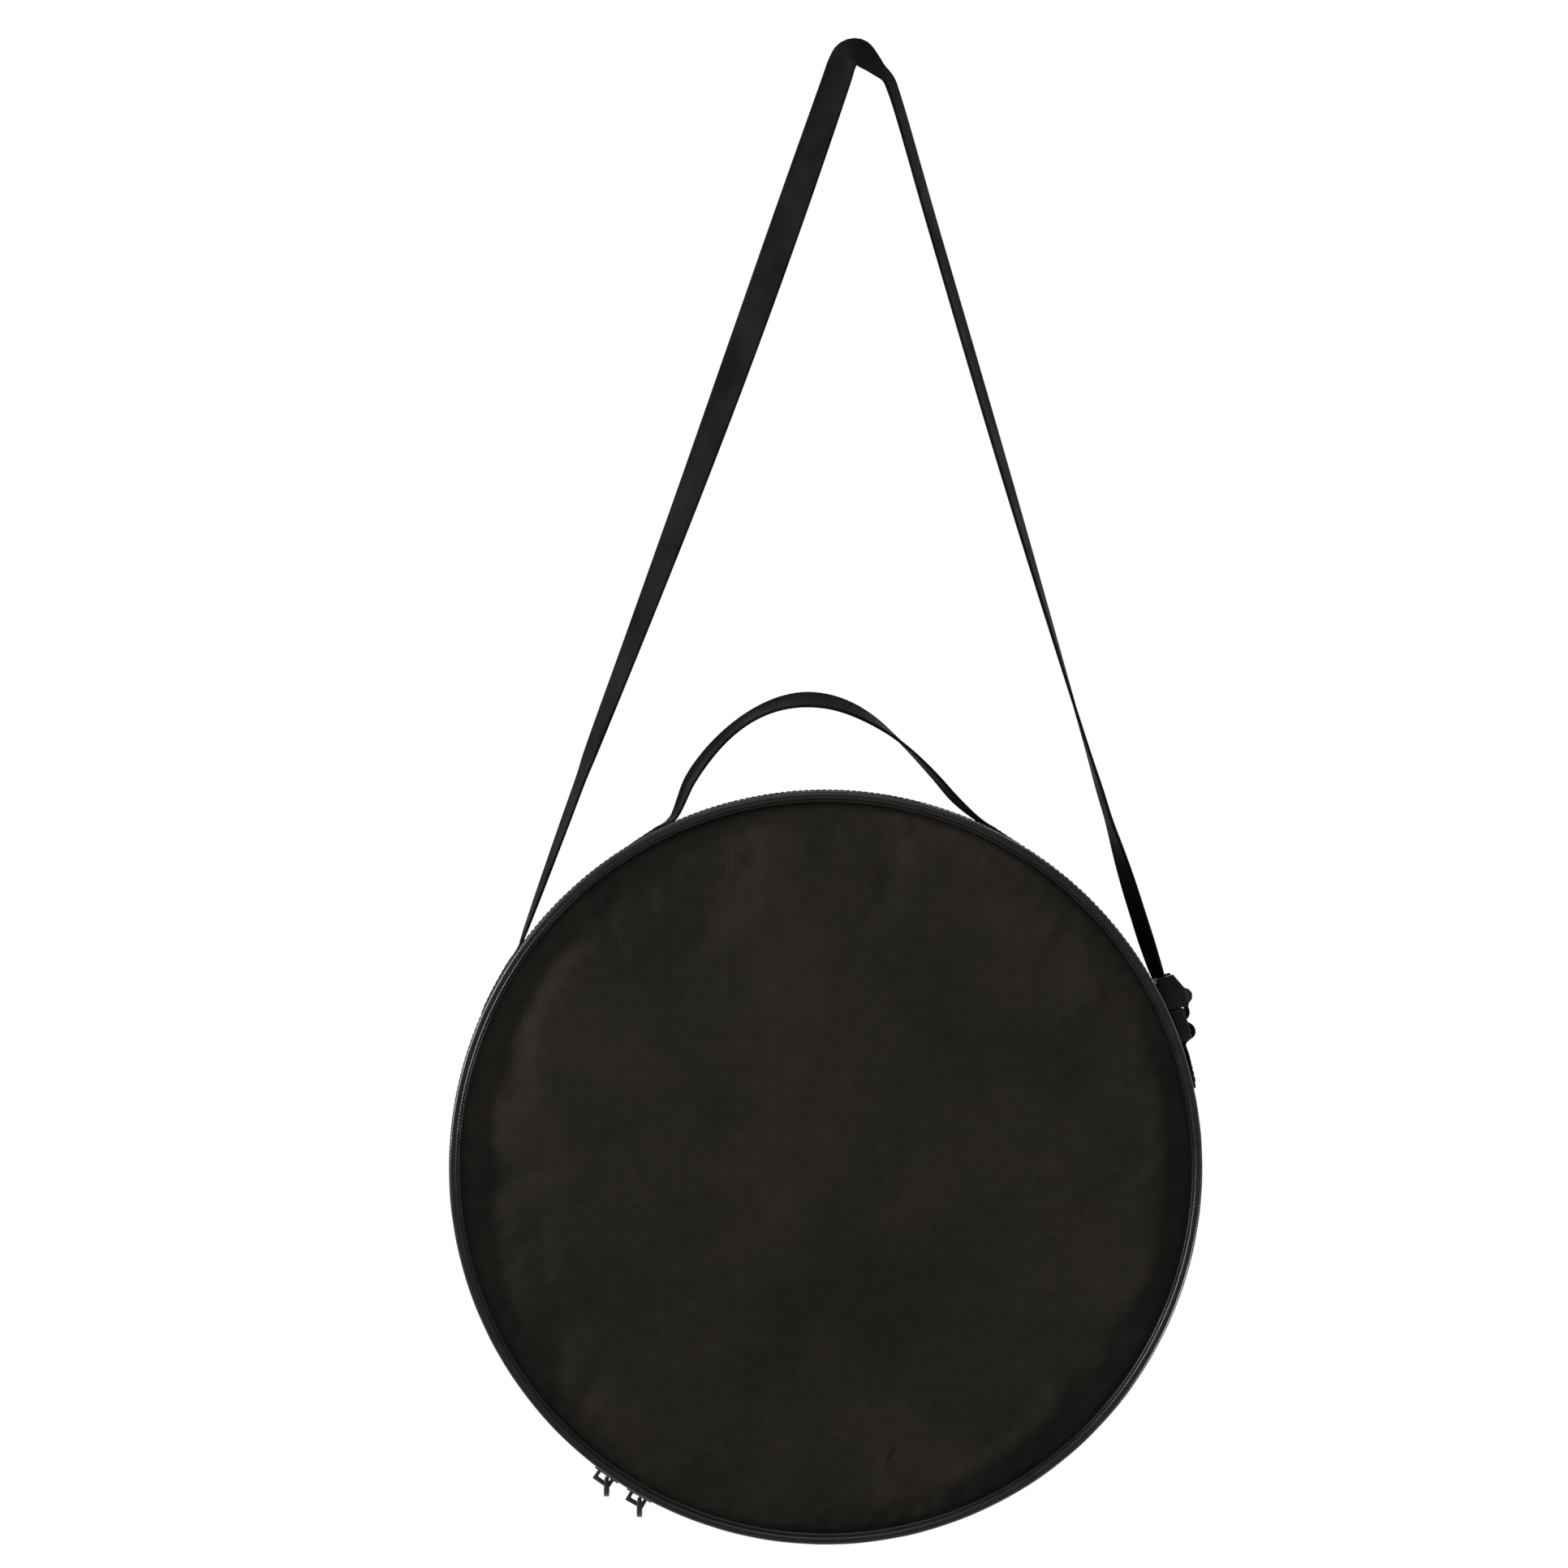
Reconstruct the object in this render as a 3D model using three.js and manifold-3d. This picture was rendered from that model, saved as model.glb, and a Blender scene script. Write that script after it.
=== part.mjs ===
// Round zip pouch that hangs from its webbing shoulder strap.
// Units are millimetres and +Z is up. The front panel faces -Y and the origin is the hang point,
// the underside of the strap where it goes over a hook.
// The pouch's own centre is the middle of its round side wall.

import * as THREE from "three";
import { mergeVertices } from "three/addons/utils/BufferGeometryUtils.js";
import Module from "manifold-3d";

const wasm = await Module();
wasm.setup();

// Driving dimensions of the pouch
const RIM_RADIUS = 200; // over the piping
const POUCH_DEPTH = 110; // over both piped edges
const PIPING_BEAD = 4.6; // diameter of the covered cord
const CLOTH = 1.2; // outer cloth with its backing
const FRONT_FOAM = 4;
const BACK_FOAM = 3.3;
const BAND_FOAM = 2.5;
const LINING = 0.8;
const BINDING = 3; // folded tape over the raw edges inside
const FRONT_CROWN = 7; // how far the front panel swells past its edge
const FRONT_FLAT = 40; // radius of the middle of the front that is level
const BACK_CROWN = 4.8;
const BACK_FLAT = 165; // radius of the level face that the pouch lies on
const WALL_BULGE = 4; // how far the soft side wall swells past its seams
const GAP = 0.3; // between sewn layers

// Driving dimensions of the zip, placed round the side wall
const ZIP_WIDTH = 24; // both tapes and the chain
const FRONT_BAND = 11; // cloth between the front piping and the zip
const TAPE = 1;
const COIL_WIDTH = 2.2; // one side of the chain
const COIL_HEIGHT = 2.5;
const CHAIN_GAP = 1.4; // between the two sides, where a slider's neck runs
const ZIP_LEFT_END = 243.3; // degrees anticlockwise from +X, seen from the front
const ZIP_RIGHT_END = -57.5;
const BASE_PROUD = 1.6; // how far the base gusset stands out from the zip's bands

// Driving dimensions of the zip sliders and their pulls
const SLIDER_ANGLES = { a: 240.6, b: 234.8 };
const SLIDER_LENGTH = 15;
const SLIDER_WIDTH = 9.4;
const SLIDER_PLATE = 2;
const SLIDER_RUN = 0.8; // clearance between the chain and the plates
const BAIL_HEIGHT = 3.6; // clear height under the bail
const BAIL_BAR = 2;
const BAIL_LENGTH = 10.4;
const BAIL_WIDTH = 2.4;
const PULL_LENGTH = 11.5;
const PULL_WIDTH = 8;
const PULL_THICKNESS = 2.2;
const PULL_RIM = 1.8; // width of the loop's sides
const PULL_PLAY = 0.25; // between the pull's top bar and the bail
const PULL_SHIFT = 1.4; // the pull hangs at the bail's lower end

// Driving dimensions of the webbing and its hardware
const WEBBING_WIDTH = 25;
const WEBBING = 1.7; // thickness
const SEWN_LENGTH = 38; // end of the strap sewn down on the left
const FLEX_HEIGHT = 208; // line across both strands, above the centre, where the pouch swings
const FLEX_TRIM = 10.5; // the upper webbing ends this far above a fold line
const HANG_OFFSET = 17; // the hook is this far to the right of the centre
const HANG_DROP = 599;
const LEFT_SEAT = 145.5; // degrees round the wall, where the left strand leaves it
const RIGHT_SEAT = 20; // degrees, where the right strand reaches its ring
const RIGHT_STANDOFF = 1.2; // the ring holds the right strand this far off the wall
const RING_BAR = 4.4;
const RING_OPENING = 6.4;
const RING_SIDE = 8; // depth of the ring's side walls
const RING_WALL = 3;
const RING_PLAY = 0.4; // webbing round a bar
const TAB_LENGTH = 30;
const ADJUSTER_BAR = 3.4;
const ADJUSTER_SLOT = 3;
const ADJUSTER_RAIL = 2.6;
const ADJUSTER_THICKNESS = 2;
const ADJUSTER_FLARE = 3.6; // the side walls stand this far out past the middle bar
const RETURN_BOW = 2.6; // how far the slack return layer stands out

// Degrees that the strap's outer face turns towards the front along the way
const FOLD_ROLL = 13; // at the left fold line
const LEFT_ROLLS = [16, 25, 33, 39.5, 42, 39];
const TURN_ROLLS = [37, 34, 30, 26, 21, 17];
const RIGHT_ROLLS = [15, 14, 13, 11, 6, 0];

// The strap's turn over the hook, as X and Z from the hang point
const HOOK_TURN = [
  [-7.6, -6],
  [-4.3, -0.3],
  [0.8, 0.8],
  [6.2, -4],
  [11.6, -9.3],
  [17, -14.5],
];

// Driving dimensions of the carry handle
const HANDLE_FOOT = 82; // half the distance between its feet
const HANDLE_RISE = 49.4; // crown above the side wall
const HANDLE_LEAN = -9; // the crown lies this far to the right of the centre
const HANDLE_FOLD = 12; // the fold line lies this far above the feet
const HANDLE_SEWN = 28;
const LEFT_FULLNESS = 0.75; // the left leg stands steeper than the right
const RIGHT_FULLNESS = 1.1;
const HANDLE_ROLLS = [0, 9, 12, 14, 16.5, 18, 16, 12, 4, -1, 0]; // degrees towards the front

const ROUND_STEPS = 48; // facets round the pouch

// Places worked out from the driving dimensions
const rad = THREE.MathUtils.degToRad;
const beadCorner = (PIPING_BEAD / 2) * (1 + Math.SQRT1_2); // the bead lies diagonally outside the seam
const wallRadius = RIM_RADIUS - beadCorner - GAP; // at the seams
const crestRadius = wallRadius + WALL_BULGE;
const panelEdgeY = POUCH_DEPTH / 2 - beadCorner - GAP;
const bandEndY = panelEdgeY - CLOTH - GAP;
const crestEndY = bandEndY - FRONT_BAND; // the wall is level as far as here, and tapers on to the seam
const zipFrontY = -crestEndY;
const zipY = zipFrontY + ZIP_WIDTH / 2;
const zipBackY = zipFrontY + ZIP_WIDTH;
const centreX = -HANG_OFFSET;
const centreZ = -HANG_DROP;
const touchRadius = crestRadius + GAP + WEBBING / 2;
const bindingRadius = wallRadius - Math.max(CLOTH, BASE_PROUD) - BAND_FOAM - LINING - 3 * GAP;
const layerRadius = bindingRadius - BINDING - GAP; // foam and lining stop short of the seam

const MATERIALS = {
  cloth: new THREE.MeshStandardMaterial({ color: 0x24221f, roughness: 0.85, metalness: 0 }),
  foam: new THREE.MeshStandardMaterial({ color: 0x3b3b3b, roughness: 0.95, metalness: 0 }),
  lining: new THREE.MeshStandardMaterial({ color: 0x2b2b2c, roughness: 0.8, metalness: 0 }),
  piping: new THREE.MeshStandardMaterial({ color: 0x282725, roughness: 0.55, metalness: 0 }),
  webbing: new THREE.MeshStandardMaterial({ color: 0x191918, roughness: 0.75, metalness: 0 }),
  zipTape: new THREE.MeshStandardMaterial({ color: 0x1c1c1c, roughness: 0.85, metalness: 0 }),
  zipCoil: new THREE.MeshStandardMaterial({ color: 0x161616, roughness: 0.45, metalness: 0 }),
  slider: new THREE.MeshStandardMaterial({ color: 0x202021, roughness: 0.4, metalness: 0.9 }),
  buckle: new THREE.MeshStandardMaterial({ color: 0x171717, roughness: 0.4, metalness: 0 }),
};

// A closed geometry as a solid that can be joined and cut.
function solidOf(geometry) {
  const bare = geometry.clone();
  bare.deleteAttribute("normal");
  bare.deleteAttribute("uv");
  const merged = mergeVertices(bare, 1e-4);
  const vertProperties = new Float32Array(merged.attributes.position.array);
  const triVerts = new Uint32Array(merged.index.array);
  return new wasm.Manifold(new wasm.Mesh({ numProp: 3, vertProperties, triVerts }));
}

function geometryOf(solid) {
  const { vertProperties, triVerts } = solid.getMesh();
  const geometry = new THREE.BufferGeometry();
  geometry.setAttribute("position", new THREE.BufferAttribute(vertProperties, 3));
  geometry.setIndex(new THREE.BufferAttribute(triVerts, 1));
  geometry.computeVertexNormals();
  return geometry;
}

function named(name, geometry, material) {
  const mesh = new THREE.Mesh(geometry, material);
  mesh.name = name;
  return mesh;
}

function boxBetween(low, high) {
  const size = new THREE.Vector3().subVectors(high, low);
  const middle = new THREE.Vector3().addVectors(low, high).multiplyScalar(0.5);
  return new THREE.BoxGeometry(size.x, size.y, size.z).translate(middle.x, middle.y, middle.z);
}

const vec = (x, y, z) => new THREE.Vector3(x, y, z);

// A flat outline in the X-Z plane, made into a solid of that width about Y = middle.
function alongY(shape, middle, width, curveSegments = 12) {
  const geometry = new THREE.ExtrudeGeometry(shape, { depth: width, bevelEnabled: false, curveSegments });
  return geometry.rotateX(Math.PI / 2).translate(0, middle + width / 2, 0);
}

// An outline in the Y-Z plane, made into a plate of that thickness about X = middle.
function alongX(shape, middle, thickness, curveSegments = 8) {
  const geometry = new THREE.ExtrudeGeometry(shape, { depth: thickness, bevelEnabled: false, curveSegments });
  const turn = new THREE.Matrix4().makeBasis(vec(0, 1, 0), vec(0, 0, 1), vec(1, 0, 0));
  return geometry.applyMatrix4(turn).translate(middle - thickness / 2, 0, 0);
}

// Part of the round side wall, between two radii, two angles in degrees and two depths.
function wallArc(inner, outer, fromAngle, toAngle, fromY, toY) {
  const shape = new THREE.Shape();
  shape.absarc(0, 0, outer, rad(fromAngle), rad(toAngle), false);
  shape.absarc(0, 0, inner, rad(toAngle), rad(fromAngle), true);
  const steps = Math.max(2, Math.round(((toAngle - fromAngle) / 720) * ROUND_STEPS));
  return alongY(shape, (fromY + toY) / 2, toY - fromY, steps);
}

// The swell of a panel at a radius: level in the middle, and falling away to the seam.
function swell(radius, crown, flat) {
  if (radius <= flat) {
    return crown;
  }
  const share = (radius - flat) / (wallRadius - flat);
  return (crown * (1 + Math.cos(Math.PI * share))) / 2;
}

// One round layer of a panel: its outer face lies `depth` inside the panel's outer face.
// All layers of a panel bend at the same radii, so that they nest.
function panelLayer({ side, radius, depth, thickness, crown, flat, rings }) {
  const radii = [0];
  for (let i = 0; i <= rings; i++) {
    radii.push(THREE.MathUtils.lerp(flat, layerRadius, i / rings));
  }
  if (radius > layerRadius) {
    radii.push(radius);
  }
  const faceAt = (r, inset) => side * (panelEdgeY - inset + swell(r, crown, flat));
  const outer = radii.map((r) => new THREE.Vector2(r, faceAt(r, depth)));
  const inner = radii.map((r) => new THREE.Vector2(r, faceAt(r, depth + thickness)));
  const profile = side < 0 ? [...outer, ...inner.reverse()] : [...inner, ...outer.reverse()];
  return new THREE.LatheGeometry(profile, ROUND_STEPS);
}

// A ring about the pouch's axis with a section given as points in radius and Y, anticlockwise.
function ring(section) {
  const closed = [...section, section[0]];
  return new THREE.LatheGeometry(closed, ROUND_STEPS);
}

// The outer face of the side wall from one depth to another, as points of Y and radius.
function wallProfile(fromY, toY, lift = 0) {
  const bends = [-crestEndY, crestEndY].filter((y) => y > fromY && y < toY);
  return [fromY, ...bends, toY].map((y) => {
    const share = Math.min((bandEndY - Math.abs(y)) / FRONT_BAND, 1);
    return [y, wallRadius + WALL_BULGE * share + lift];
  });
}

// A strip of the side wall under such an outer face, between two angles in degrees.
function wallStrip(profile, thickness, fromAngle, toAngle) {
  const outer = profile.map(([y, radius]) => new THREE.Vector2(radius, y));
  const inner = profile.map(([y, radius]) => new THREE.Vector2(radius - thickness, y));
  const whole = solidOf(ring([...outer, ...inner.reverse()]));
  const reach = POUCH_DEPTH / 2;
  const sector = wallArc(RIM_RADIUS / 2, RIM_RADIUS * 2, fromAngle, toAngle, -reach, reach);
  return geometryOf(whole.intersect(solidOf(sector)));
}

function pipingSection(side) {
  const sides = 8;
  const inset = PIPING_BEAD / 2;
  const middle = new THREE.Vector2(RIM_RADIUS - inset, side * (POUCH_DEPTH / 2 - inset));
  const points = [];
  for (let i = 0; i < sides; i++) {
    const turn = (i / sides) * 2 * Math.PI;
    const x = middle.x + (PIPING_BEAD / 2) * Math.cos(turn);
    points.push(new THREE.Vector2(x, middle.y + (PIPING_BEAD / 2) * Math.sin(turn)));
  }
  return points;
}

function bindingSection(side) {
  const outer = bindingRadius;
  const near = side * bandEndY;
  const far = side * (bandEndY - BINDING);
  const low = Math.min(near, far);
  const high = Math.max(near, far);
  return [
    new THREE.Vector2(outer - BINDING, low),
    new THREE.Vector2(outer, low),
    new THREE.Vector2(outer, high),
    new THREE.Vector2(outer - BINDING, high),
  ];
}

// Webbing that follows a curve in the X-Z plane; its width lies along Y, rolled about the run.
class WebbingRun extends THREE.CatmullRomCurve3 {
  constructor(points, rolls) {
    super(points);
    this.rolls = rolls;
    this.arcLengthDivisions = 600;
  }

  rollAt(along) {
    const place = this.getUtoTmapping(along) * (this.rolls.length - 1);
    const index = Math.min(Math.floor(place), this.rolls.length - 2);
    return THREE.MathUtils.lerp(this.rolls[index], this.rolls[index + 1], place - index);
  }

  computeFrenetFrames(segments) {
    const tangents = [];
    const normals = [];
    const binormals = [];
    for (let i = 0; i <= segments; i++) {
      const tangent = this.getTangentAt(i / segments);
      const width = vec(0, 1, 0).applyAxisAngle(tangent, rad(this.rollAt(i / segments)));
      tangents.push(tangent);
      normals.push(width);
      binormals.push(new THREE.Vector3().crossVectors(tangent, width));
    }
    return { tangents, normals, binormals };
  }
}

function webbing(points, rolls, step) {
  const run = new WebbingRun(points, rolls);
  const half = WEBBING_WIDTH / 2;
  const section = new THREE.Shape([
    new THREE.Vector2(-half, -WEBBING / 2),
    new THREE.Vector2(half, -WEBBING / 2),
    new THREE.Vector2(half, WEBBING / 2),
    new THREE.Vector2(-half, WEBBING / 2),
  ]);
  const steps = Math.ceil(run.getLength() / step);
  return new THREE.ExtrudeGeometry(section, { steps, extrudePath: run, bevelEnabled: false });
}

// Webbing folds about a line along X. The lower length ends in a half round about that line,
// and the upper length in a hollow of the same middle, so that one turns in the other.
function foldCylinder(radius, x, z) {
  const reach = WEBBING_WIDTH * 4;
  const upright = new THREE.CylinderGeometry(radius, radius, reach, 32);
  return solidOf(upright.rotateZ(Math.PI / 2).translate(x, 0, z));
}

function lowerLength(geometry, x, z) {
  const reach = WEBBING_WIDTH * 2;
  const above = solidOf(boxBetween(vec(x - reach, -reach, z), vec(x + reach, reach, z + 2 * reach)));
  const beyond = above.subtract(foldCylinder(WEBBING_WIDTH / 2, x, z));
  return geometryOf(solidOf(geometry).subtract(beyond));
}

function upperLength(geometry, places) {
  const solid = places.reduce(
    (rest, { x, z }) => rest.subtract(foldCylinder(WEBBING_WIDTH / 2 + GAP, x, z)),
    solidOf(geometry),
  );
  return geometryOf(solid);
}

// Points on the side wall's webbing circle, from one angle to another.
function wallRun(fromAngle, toAngle, step = 0.06) {
  const count = Math.max(2, Math.ceil(Math.abs(toAngle - fromAngle) / step));
  const points = [];
  for (let i = 0; i <= count; i++) {
    const angle = THREE.MathUtils.lerp(fromAngle, toAngle, i / count);
    points.push(vec(touchRadius * Math.cos(angle), 0, touchRadius * Math.sin(angle)));
  }
  return points;
}

// A strand of the shoulder strap: a straight line from a shoulder by the hook to its seat by the wall.
// u runs up the strand and v outwards.
function strand(shoulder, side, seatAngle, seatRadius) {
  const from = vec(shoulder.x - centreX, 0, shoulder.z - centreZ);
  const angle = rad(seatAngle);
  const touch = vec(seatRadius * Math.cos(angle), 0, seatRadius * Math.sin(angle));
  const up = from.clone().sub(touch).normalize();
  const out = vec(side * up.z, 0, -side * up.x);
  const length = from.distanceTo(touch);
  const at = (u, v = 0) => touch.clone().addScaledVector(up, u).addScaledVector(out, v);
  const uAtHeight = (height) => (height - touch.z) / up.z;
  return { angle, up, out, length, at, uAtHeight };
}

const LEFT_SHOULDER = vec(-11, 0, -16);
const RIGHT_SHOULDER = vec(20, 0, -21.5);
const left = strand(LEFT_SHOULDER, -1, LEFT_SEAT, touchRadius);
const right = strand(RIGHT_SHOULDER, 1, RIGHT_SEAT, touchRadius + RIGHT_STANDOFF);
const leftFold = left.at(left.uAtHeight(FLEX_HEIGHT));
const rightFold = right.at(right.uAtHeight(FLEX_HEIGHT));

// The cloth, foam and lining of one round panel
function addPanel(group, name, lay, foam) {
  const foamDepth = CLOTH + GAP;
  const liningDepth = foamDepth + foam + GAP;
  const layers = [
    ["_panel", wallRadius, 0, CLOTH, MATERIALS.cloth],
    ["_foam", layerRadius, foamDepth, foam, MATERIALS.foam],
    ["_lining", layerRadius, liningDepth, LINING, MATERIALS.lining],
  ];
  for (const [ending, radius, depth, thickness, material] of layers) {
    group.add(named(name + ending, panelLayer({ ...lay, radius, depth, thickness }), material));
  }
  group.add(
    named(name + "_piping", ring(pipingSection(lay.side)), MATERIALS.piping),
    named(name + "_seam_binding", ring(bindingSection(lay.side)), MATERIALS.lining),
  );
}

// Front half: the lid that the zip lets open
function makeLid() {
  const lid = new THREE.Group();
  addPanel(lid, "front", { side: -1, crown: FRONT_CROWN, flat: FRONT_FLAT, rings: 3 }, FRONT_FOAM);
  const band = wallStrip(wallProfile(-bandEndY, zipFrontY - GAP), CLOTH, ZIP_RIGHT_END, ZIP_LEFT_END);
  lid.add(named("front_band", band, MATERIALS.cloth));
  addZipSide(lid, "front", zipFrontY, -1);
  lid.add(named("base_gusset_flap", baseStrip(-bandEndY, zipY - GAP / 2), MATERIALS.cloth));
  return lid;
}

// One zip tape and its side of the chain; `edgeY` is the tape's sewn edge.
function addZipSide(group, name, edgeY, side) {
  const coilNear = zipY + (side * CHAIN_GAP) / 2;
  const coilFar = coilNear + side * COIL_WIDTH;
  const tapeNear = coilFar + side * GAP;
  const span = (a, b) => [Math.min(a, b), Math.max(a, b)];
  const tapeTop = crestRadius - (CLOTH - TAPE) / 2;
  const coilTop = tapeTop - TAPE / 2 + COIL_HEIGHT / 2;
  const zipArc = (top, high, from, to) => {
    return wallArc(top - high, top, ZIP_RIGHT_END, ZIP_LEFT_END, ...span(from, to));
  };
  group.add(
    named(name + "_zip_tape", zipArc(tapeTop, TAPE, edgeY, tapeNear), MATERIALS.zipTape),
    named(name + "_zip_coil", zipArc(coilTop, COIL_HEIGHT, coilNear, coilFar), MATERIALS.zipCoil),
  );
}

// The base gusset fills the wall between the zip's two ends.
function baseStrip(fromY, toY) {
  const margin = (GAP / wallRadius) * (180 / Math.PI);
  const profile = wallProfile(fromY, toY, BASE_PROUD);
  return wallStrip(profile, CLOTH + BASE_PROUD, ZIP_LEFT_END + margin, 360 + ZIP_RIGHT_END - margin);
}

// Back half: the body of the pouch
function makeBody() {
  const body = new THREE.Group();
  addPanel(body, "back", { side: 1, crown: BACK_CROWN, flat: BACK_FLAT, rings: 1 }, BACK_FOAM);
  const foamIn = CLOTH + GAP;
  const liningIn = foamIn + BAND_FOAM + GAP;
  const layers = [
    ["back_band", 0, CLOTH, MATERIALS.cloth],
    ["band_foam", foamIn, BAND_FOAM, MATERIALS.foam],
    ["band_lining", liningIn, LINING, MATERIALS.lining],
  ];
  for (const [name, inset, thickness, material] of layers) {
    const profile = wallProfile(zipBackY + GAP, bandEndY, -inset);
    body.add(named(name, wallStrip(profile, thickness, ZIP_RIGHT_END, ZIP_LEFT_END), material));
  }
  addZipSide(body, "back", zipBackY, 1);
  body.add(named("base_gusset", baseStrip(zipY + GAP / 2, bandEndY), MATERIALS.cloth));
  return body;
}

// Zip slider: two plates joined by a neck between the chain's sides, and a bail for the pull.
// In its own frame X is outwards from the pouch's centre and Z lies along the zip.
const sliderTop = (() => {
  const chainTop = crestRadius - CLOTH / 2 + COIL_HEIGHT / 2;
  return chainTop + SLIDER_RUN + SLIDER_PLATE;
})();
const pullPivot = sliderTop + BAIL_HEIGHT - PULL_PLAY - PULL_THICKNESS * Math.SQRT1_2;

function sliderGeometry() {
  const low = sliderTop - 2 * SLIDER_PLATE - 2 * SLIDER_RUN - COIL_HEIGHT;
  const halfLong = SLIDER_LENGTH / 2;
  const halfWide = SLIDER_WIDTH / 2;
  const neck = (CHAIN_GAP - 2 * GAP) / 2;
  const post = BAIL_BAR;
  const bail = BAIL_LENGTH / 2;
  const bailWide = BAIL_WIDTH / 2;
  const bailTop = sliderTop + BAIL_HEIGHT;
  const pieces = [
    [vec(sliderTop - SLIDER_PLATE, -halfWide, -halfLong), vec(sliderTop, halfWide, halfLong)],
    [vec(low, -halfWide, -halfLong), vec(low + SLIDER_PLATE, halfWide, halfLong)],
    [vec(low, -neck, -halfLong / 2), vec(sliderTop, neck, halfLong / 2)],
    [vec(sliderTop - SLIDER_PLATE, -bailWide, -bail), vec(bailTop, bailWide, -bail + post)],
    [vec(sliderTop - SLIDER_PLATE, -bailWide, bail - post), vec(bailTop, bailWide, bail)],
    [vec(bailTop - GAP, -bailWide, -bail), vec(bailTop + BAIL_BAR, bailWide, bail)],
  ];
  const solids = pieces.map(([a, b]) => solidOf(boxBetween(a, b)));
  return geometryOf(solids.reduce((sum, piece) => sum.add(piece)));
}

// A pull is a flat loop that hangs down its own -Z from its top bar, which lies under the bail.
function pullGeometry() {
  const top = PULL_THICKNESS / 2;
  const half = PULL_WIDTH / 2;
  const round = PULL_WIDTH / 2;
  const outline = new THREE.Shape();
  outline.moveTo(-half, top);
  outline.lineTo(-half, top - PULL_LENGTH + round);
  outline.absarc(0, top - PULL_LENGTH + round, round, Math.PI, 2 * Math.PI, false);
  outline.lineTo(half, top);
  const holeHalf = half - PULL_RIM;
  const hole = new THREE.Path();
  hole.moveTo(holeHalf, top - PULL_THICKNESS);
  hole.lineTo(holeHalf, top - PULL_LENGTH + round);
  hole.absarc(0, top - PULL_LENGTH + round, holeHalf, 0, Math.PI, true);
  hole.lineTo(-holeHalf, top - PULL_THICKNESS);
  outline.holes.push(hole);
  return alongX(outline, 0, PULL_THICKNESS);
}

function makeSlider(letter) {
  const group = new THREE.Group();
  const angle = rad(SLIDER_ANGLES[letter]);
  const slider = named("zip_slider_" + letter, sliderGeometry(), MATERIALS.slider);
  slider.rotation.y = -angle;
  slider.position.y = zipY;
  const pull = named("zip_pull_" + letter, pullGeometry(), MATERIALS.slider);
  pull.position.copy(slider.position).addScaledVector(vec(Math.cos(angle), 0, Math.sin(angle)), pullPivot);
  pull.position.addScaledVector(vec(-Math.sin(angle), 0, Math.cos(angle)), PULL_SHIFT);
  group.add(slider, pull);
  return group;
}

// From the pouch's own centre to the hang point
const toRow = (p) => vec(p.x + centreX, 0, p.z + centreZ);

// Left end of the strap: sewn flat on the back band, then straight up the strand to the fold line.
function leftEnd() {
  const fine = 0.02;
  const sewn = wallRun(left.angle + SEWN_LENGTH / touchRadius, left.angle, fine);
  const foldU = left.uAtHeight(FLEX_HEIGHT);
  const shares = [fine, 0.25, 0.5, 0.75, 1];
  const points = [...sewn, ...shares.map((share) => left.at(foldU * share)), left.at(foldU + WEBBING_WIDTH)];
  const rolls = [...sewn.map(() => 0), ...shares.map((share) => FOLD_ROLL * share), FOLD_ROLL];
  return webbing(points, rolls, 4);
}

function strapRun() {
  const start = left.uAtHeight(FLEX_HEIGHT + FLEX_TRIM);
  const end = right.uAtHeight(FLEX_HEIGHT + FLEX_TRIM);
  const along = (line, from, to, count) => {
    const places = [];
    for (let i = 0; i < count; i++) {
      places.push(toRow(line.at(THREE.MathUtils.lerp(from, to, i / (count - 1)))));
    }
    return places;
  };
  const points = [
    ...along(left, start, left.length, LEFT_ROLLS.length),
    ...HOOK_TURN.map(([x, z]) => vec(x, 0, z)),
    ...along(right, right.length, end, RIGHT_ROLLS.length),
  ];
  return webbing(points, [...LEFT_ROLLS, ...TURN_ROLLS, ...RIGHT_ROLLS], 9);
}

// Right-hand hardware, in the strand's own plane. The ring's lower bar lies level with the strand's seat.
const barReach = RING_BAR * Math.SQRT1_2 + RING_PLAY; // round a square bar, to the webbing
const ringV = barReach + WEBBING / 2;
const ringTopU = RING_OPENING + RING_BAR;

// A flat outline round a line of webbing, from its middle points.
function webbingOutline(line) {
  const sides = [[], []];
  line.forEach((point, i) => {
    const before = line[Math.max(i - 1, 0)];
    const after = line[Math.min(i + 1, line.length - 1)];
    const run = vec(after.x - before.x, 0, after.z - before.z).normalize();
    const across = new THREE.Vector2(-run.z, run.x).multiplyScalar(WEBBING / 2);
    sides[0].push(new THREE.Vector2(point.x + across.x, point.z + across.y));
    sides[1].push(new THREE.Vector2(point.x - across.x, point.z - across.y));
  });
  return new THREE.Shape([...sides[0], ...sides[1].reverse()]);
}

function rightEnd() {
  const turn = [];
  const steps = 10;
  for (let i = 0; i <= steps; i++) {
    const angle = Math.PI + (i / steps) * Math.PI;
    turn.push(right.at(ringTopU + ringV * Math.sin(angle), ringV + ringV * Math.cos(angle)));
  }
  const top = right.at(right.uAtHeight(FLEX_HEIGHT) + WEBBING_WIDTH);
  const line = [top, ...turn, right.at(ringTopU + RING_PLAY, 2 * ringV)];
  return alongY(webbingOutline(line), 0, WEBBING_WIDTH);
}

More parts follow.
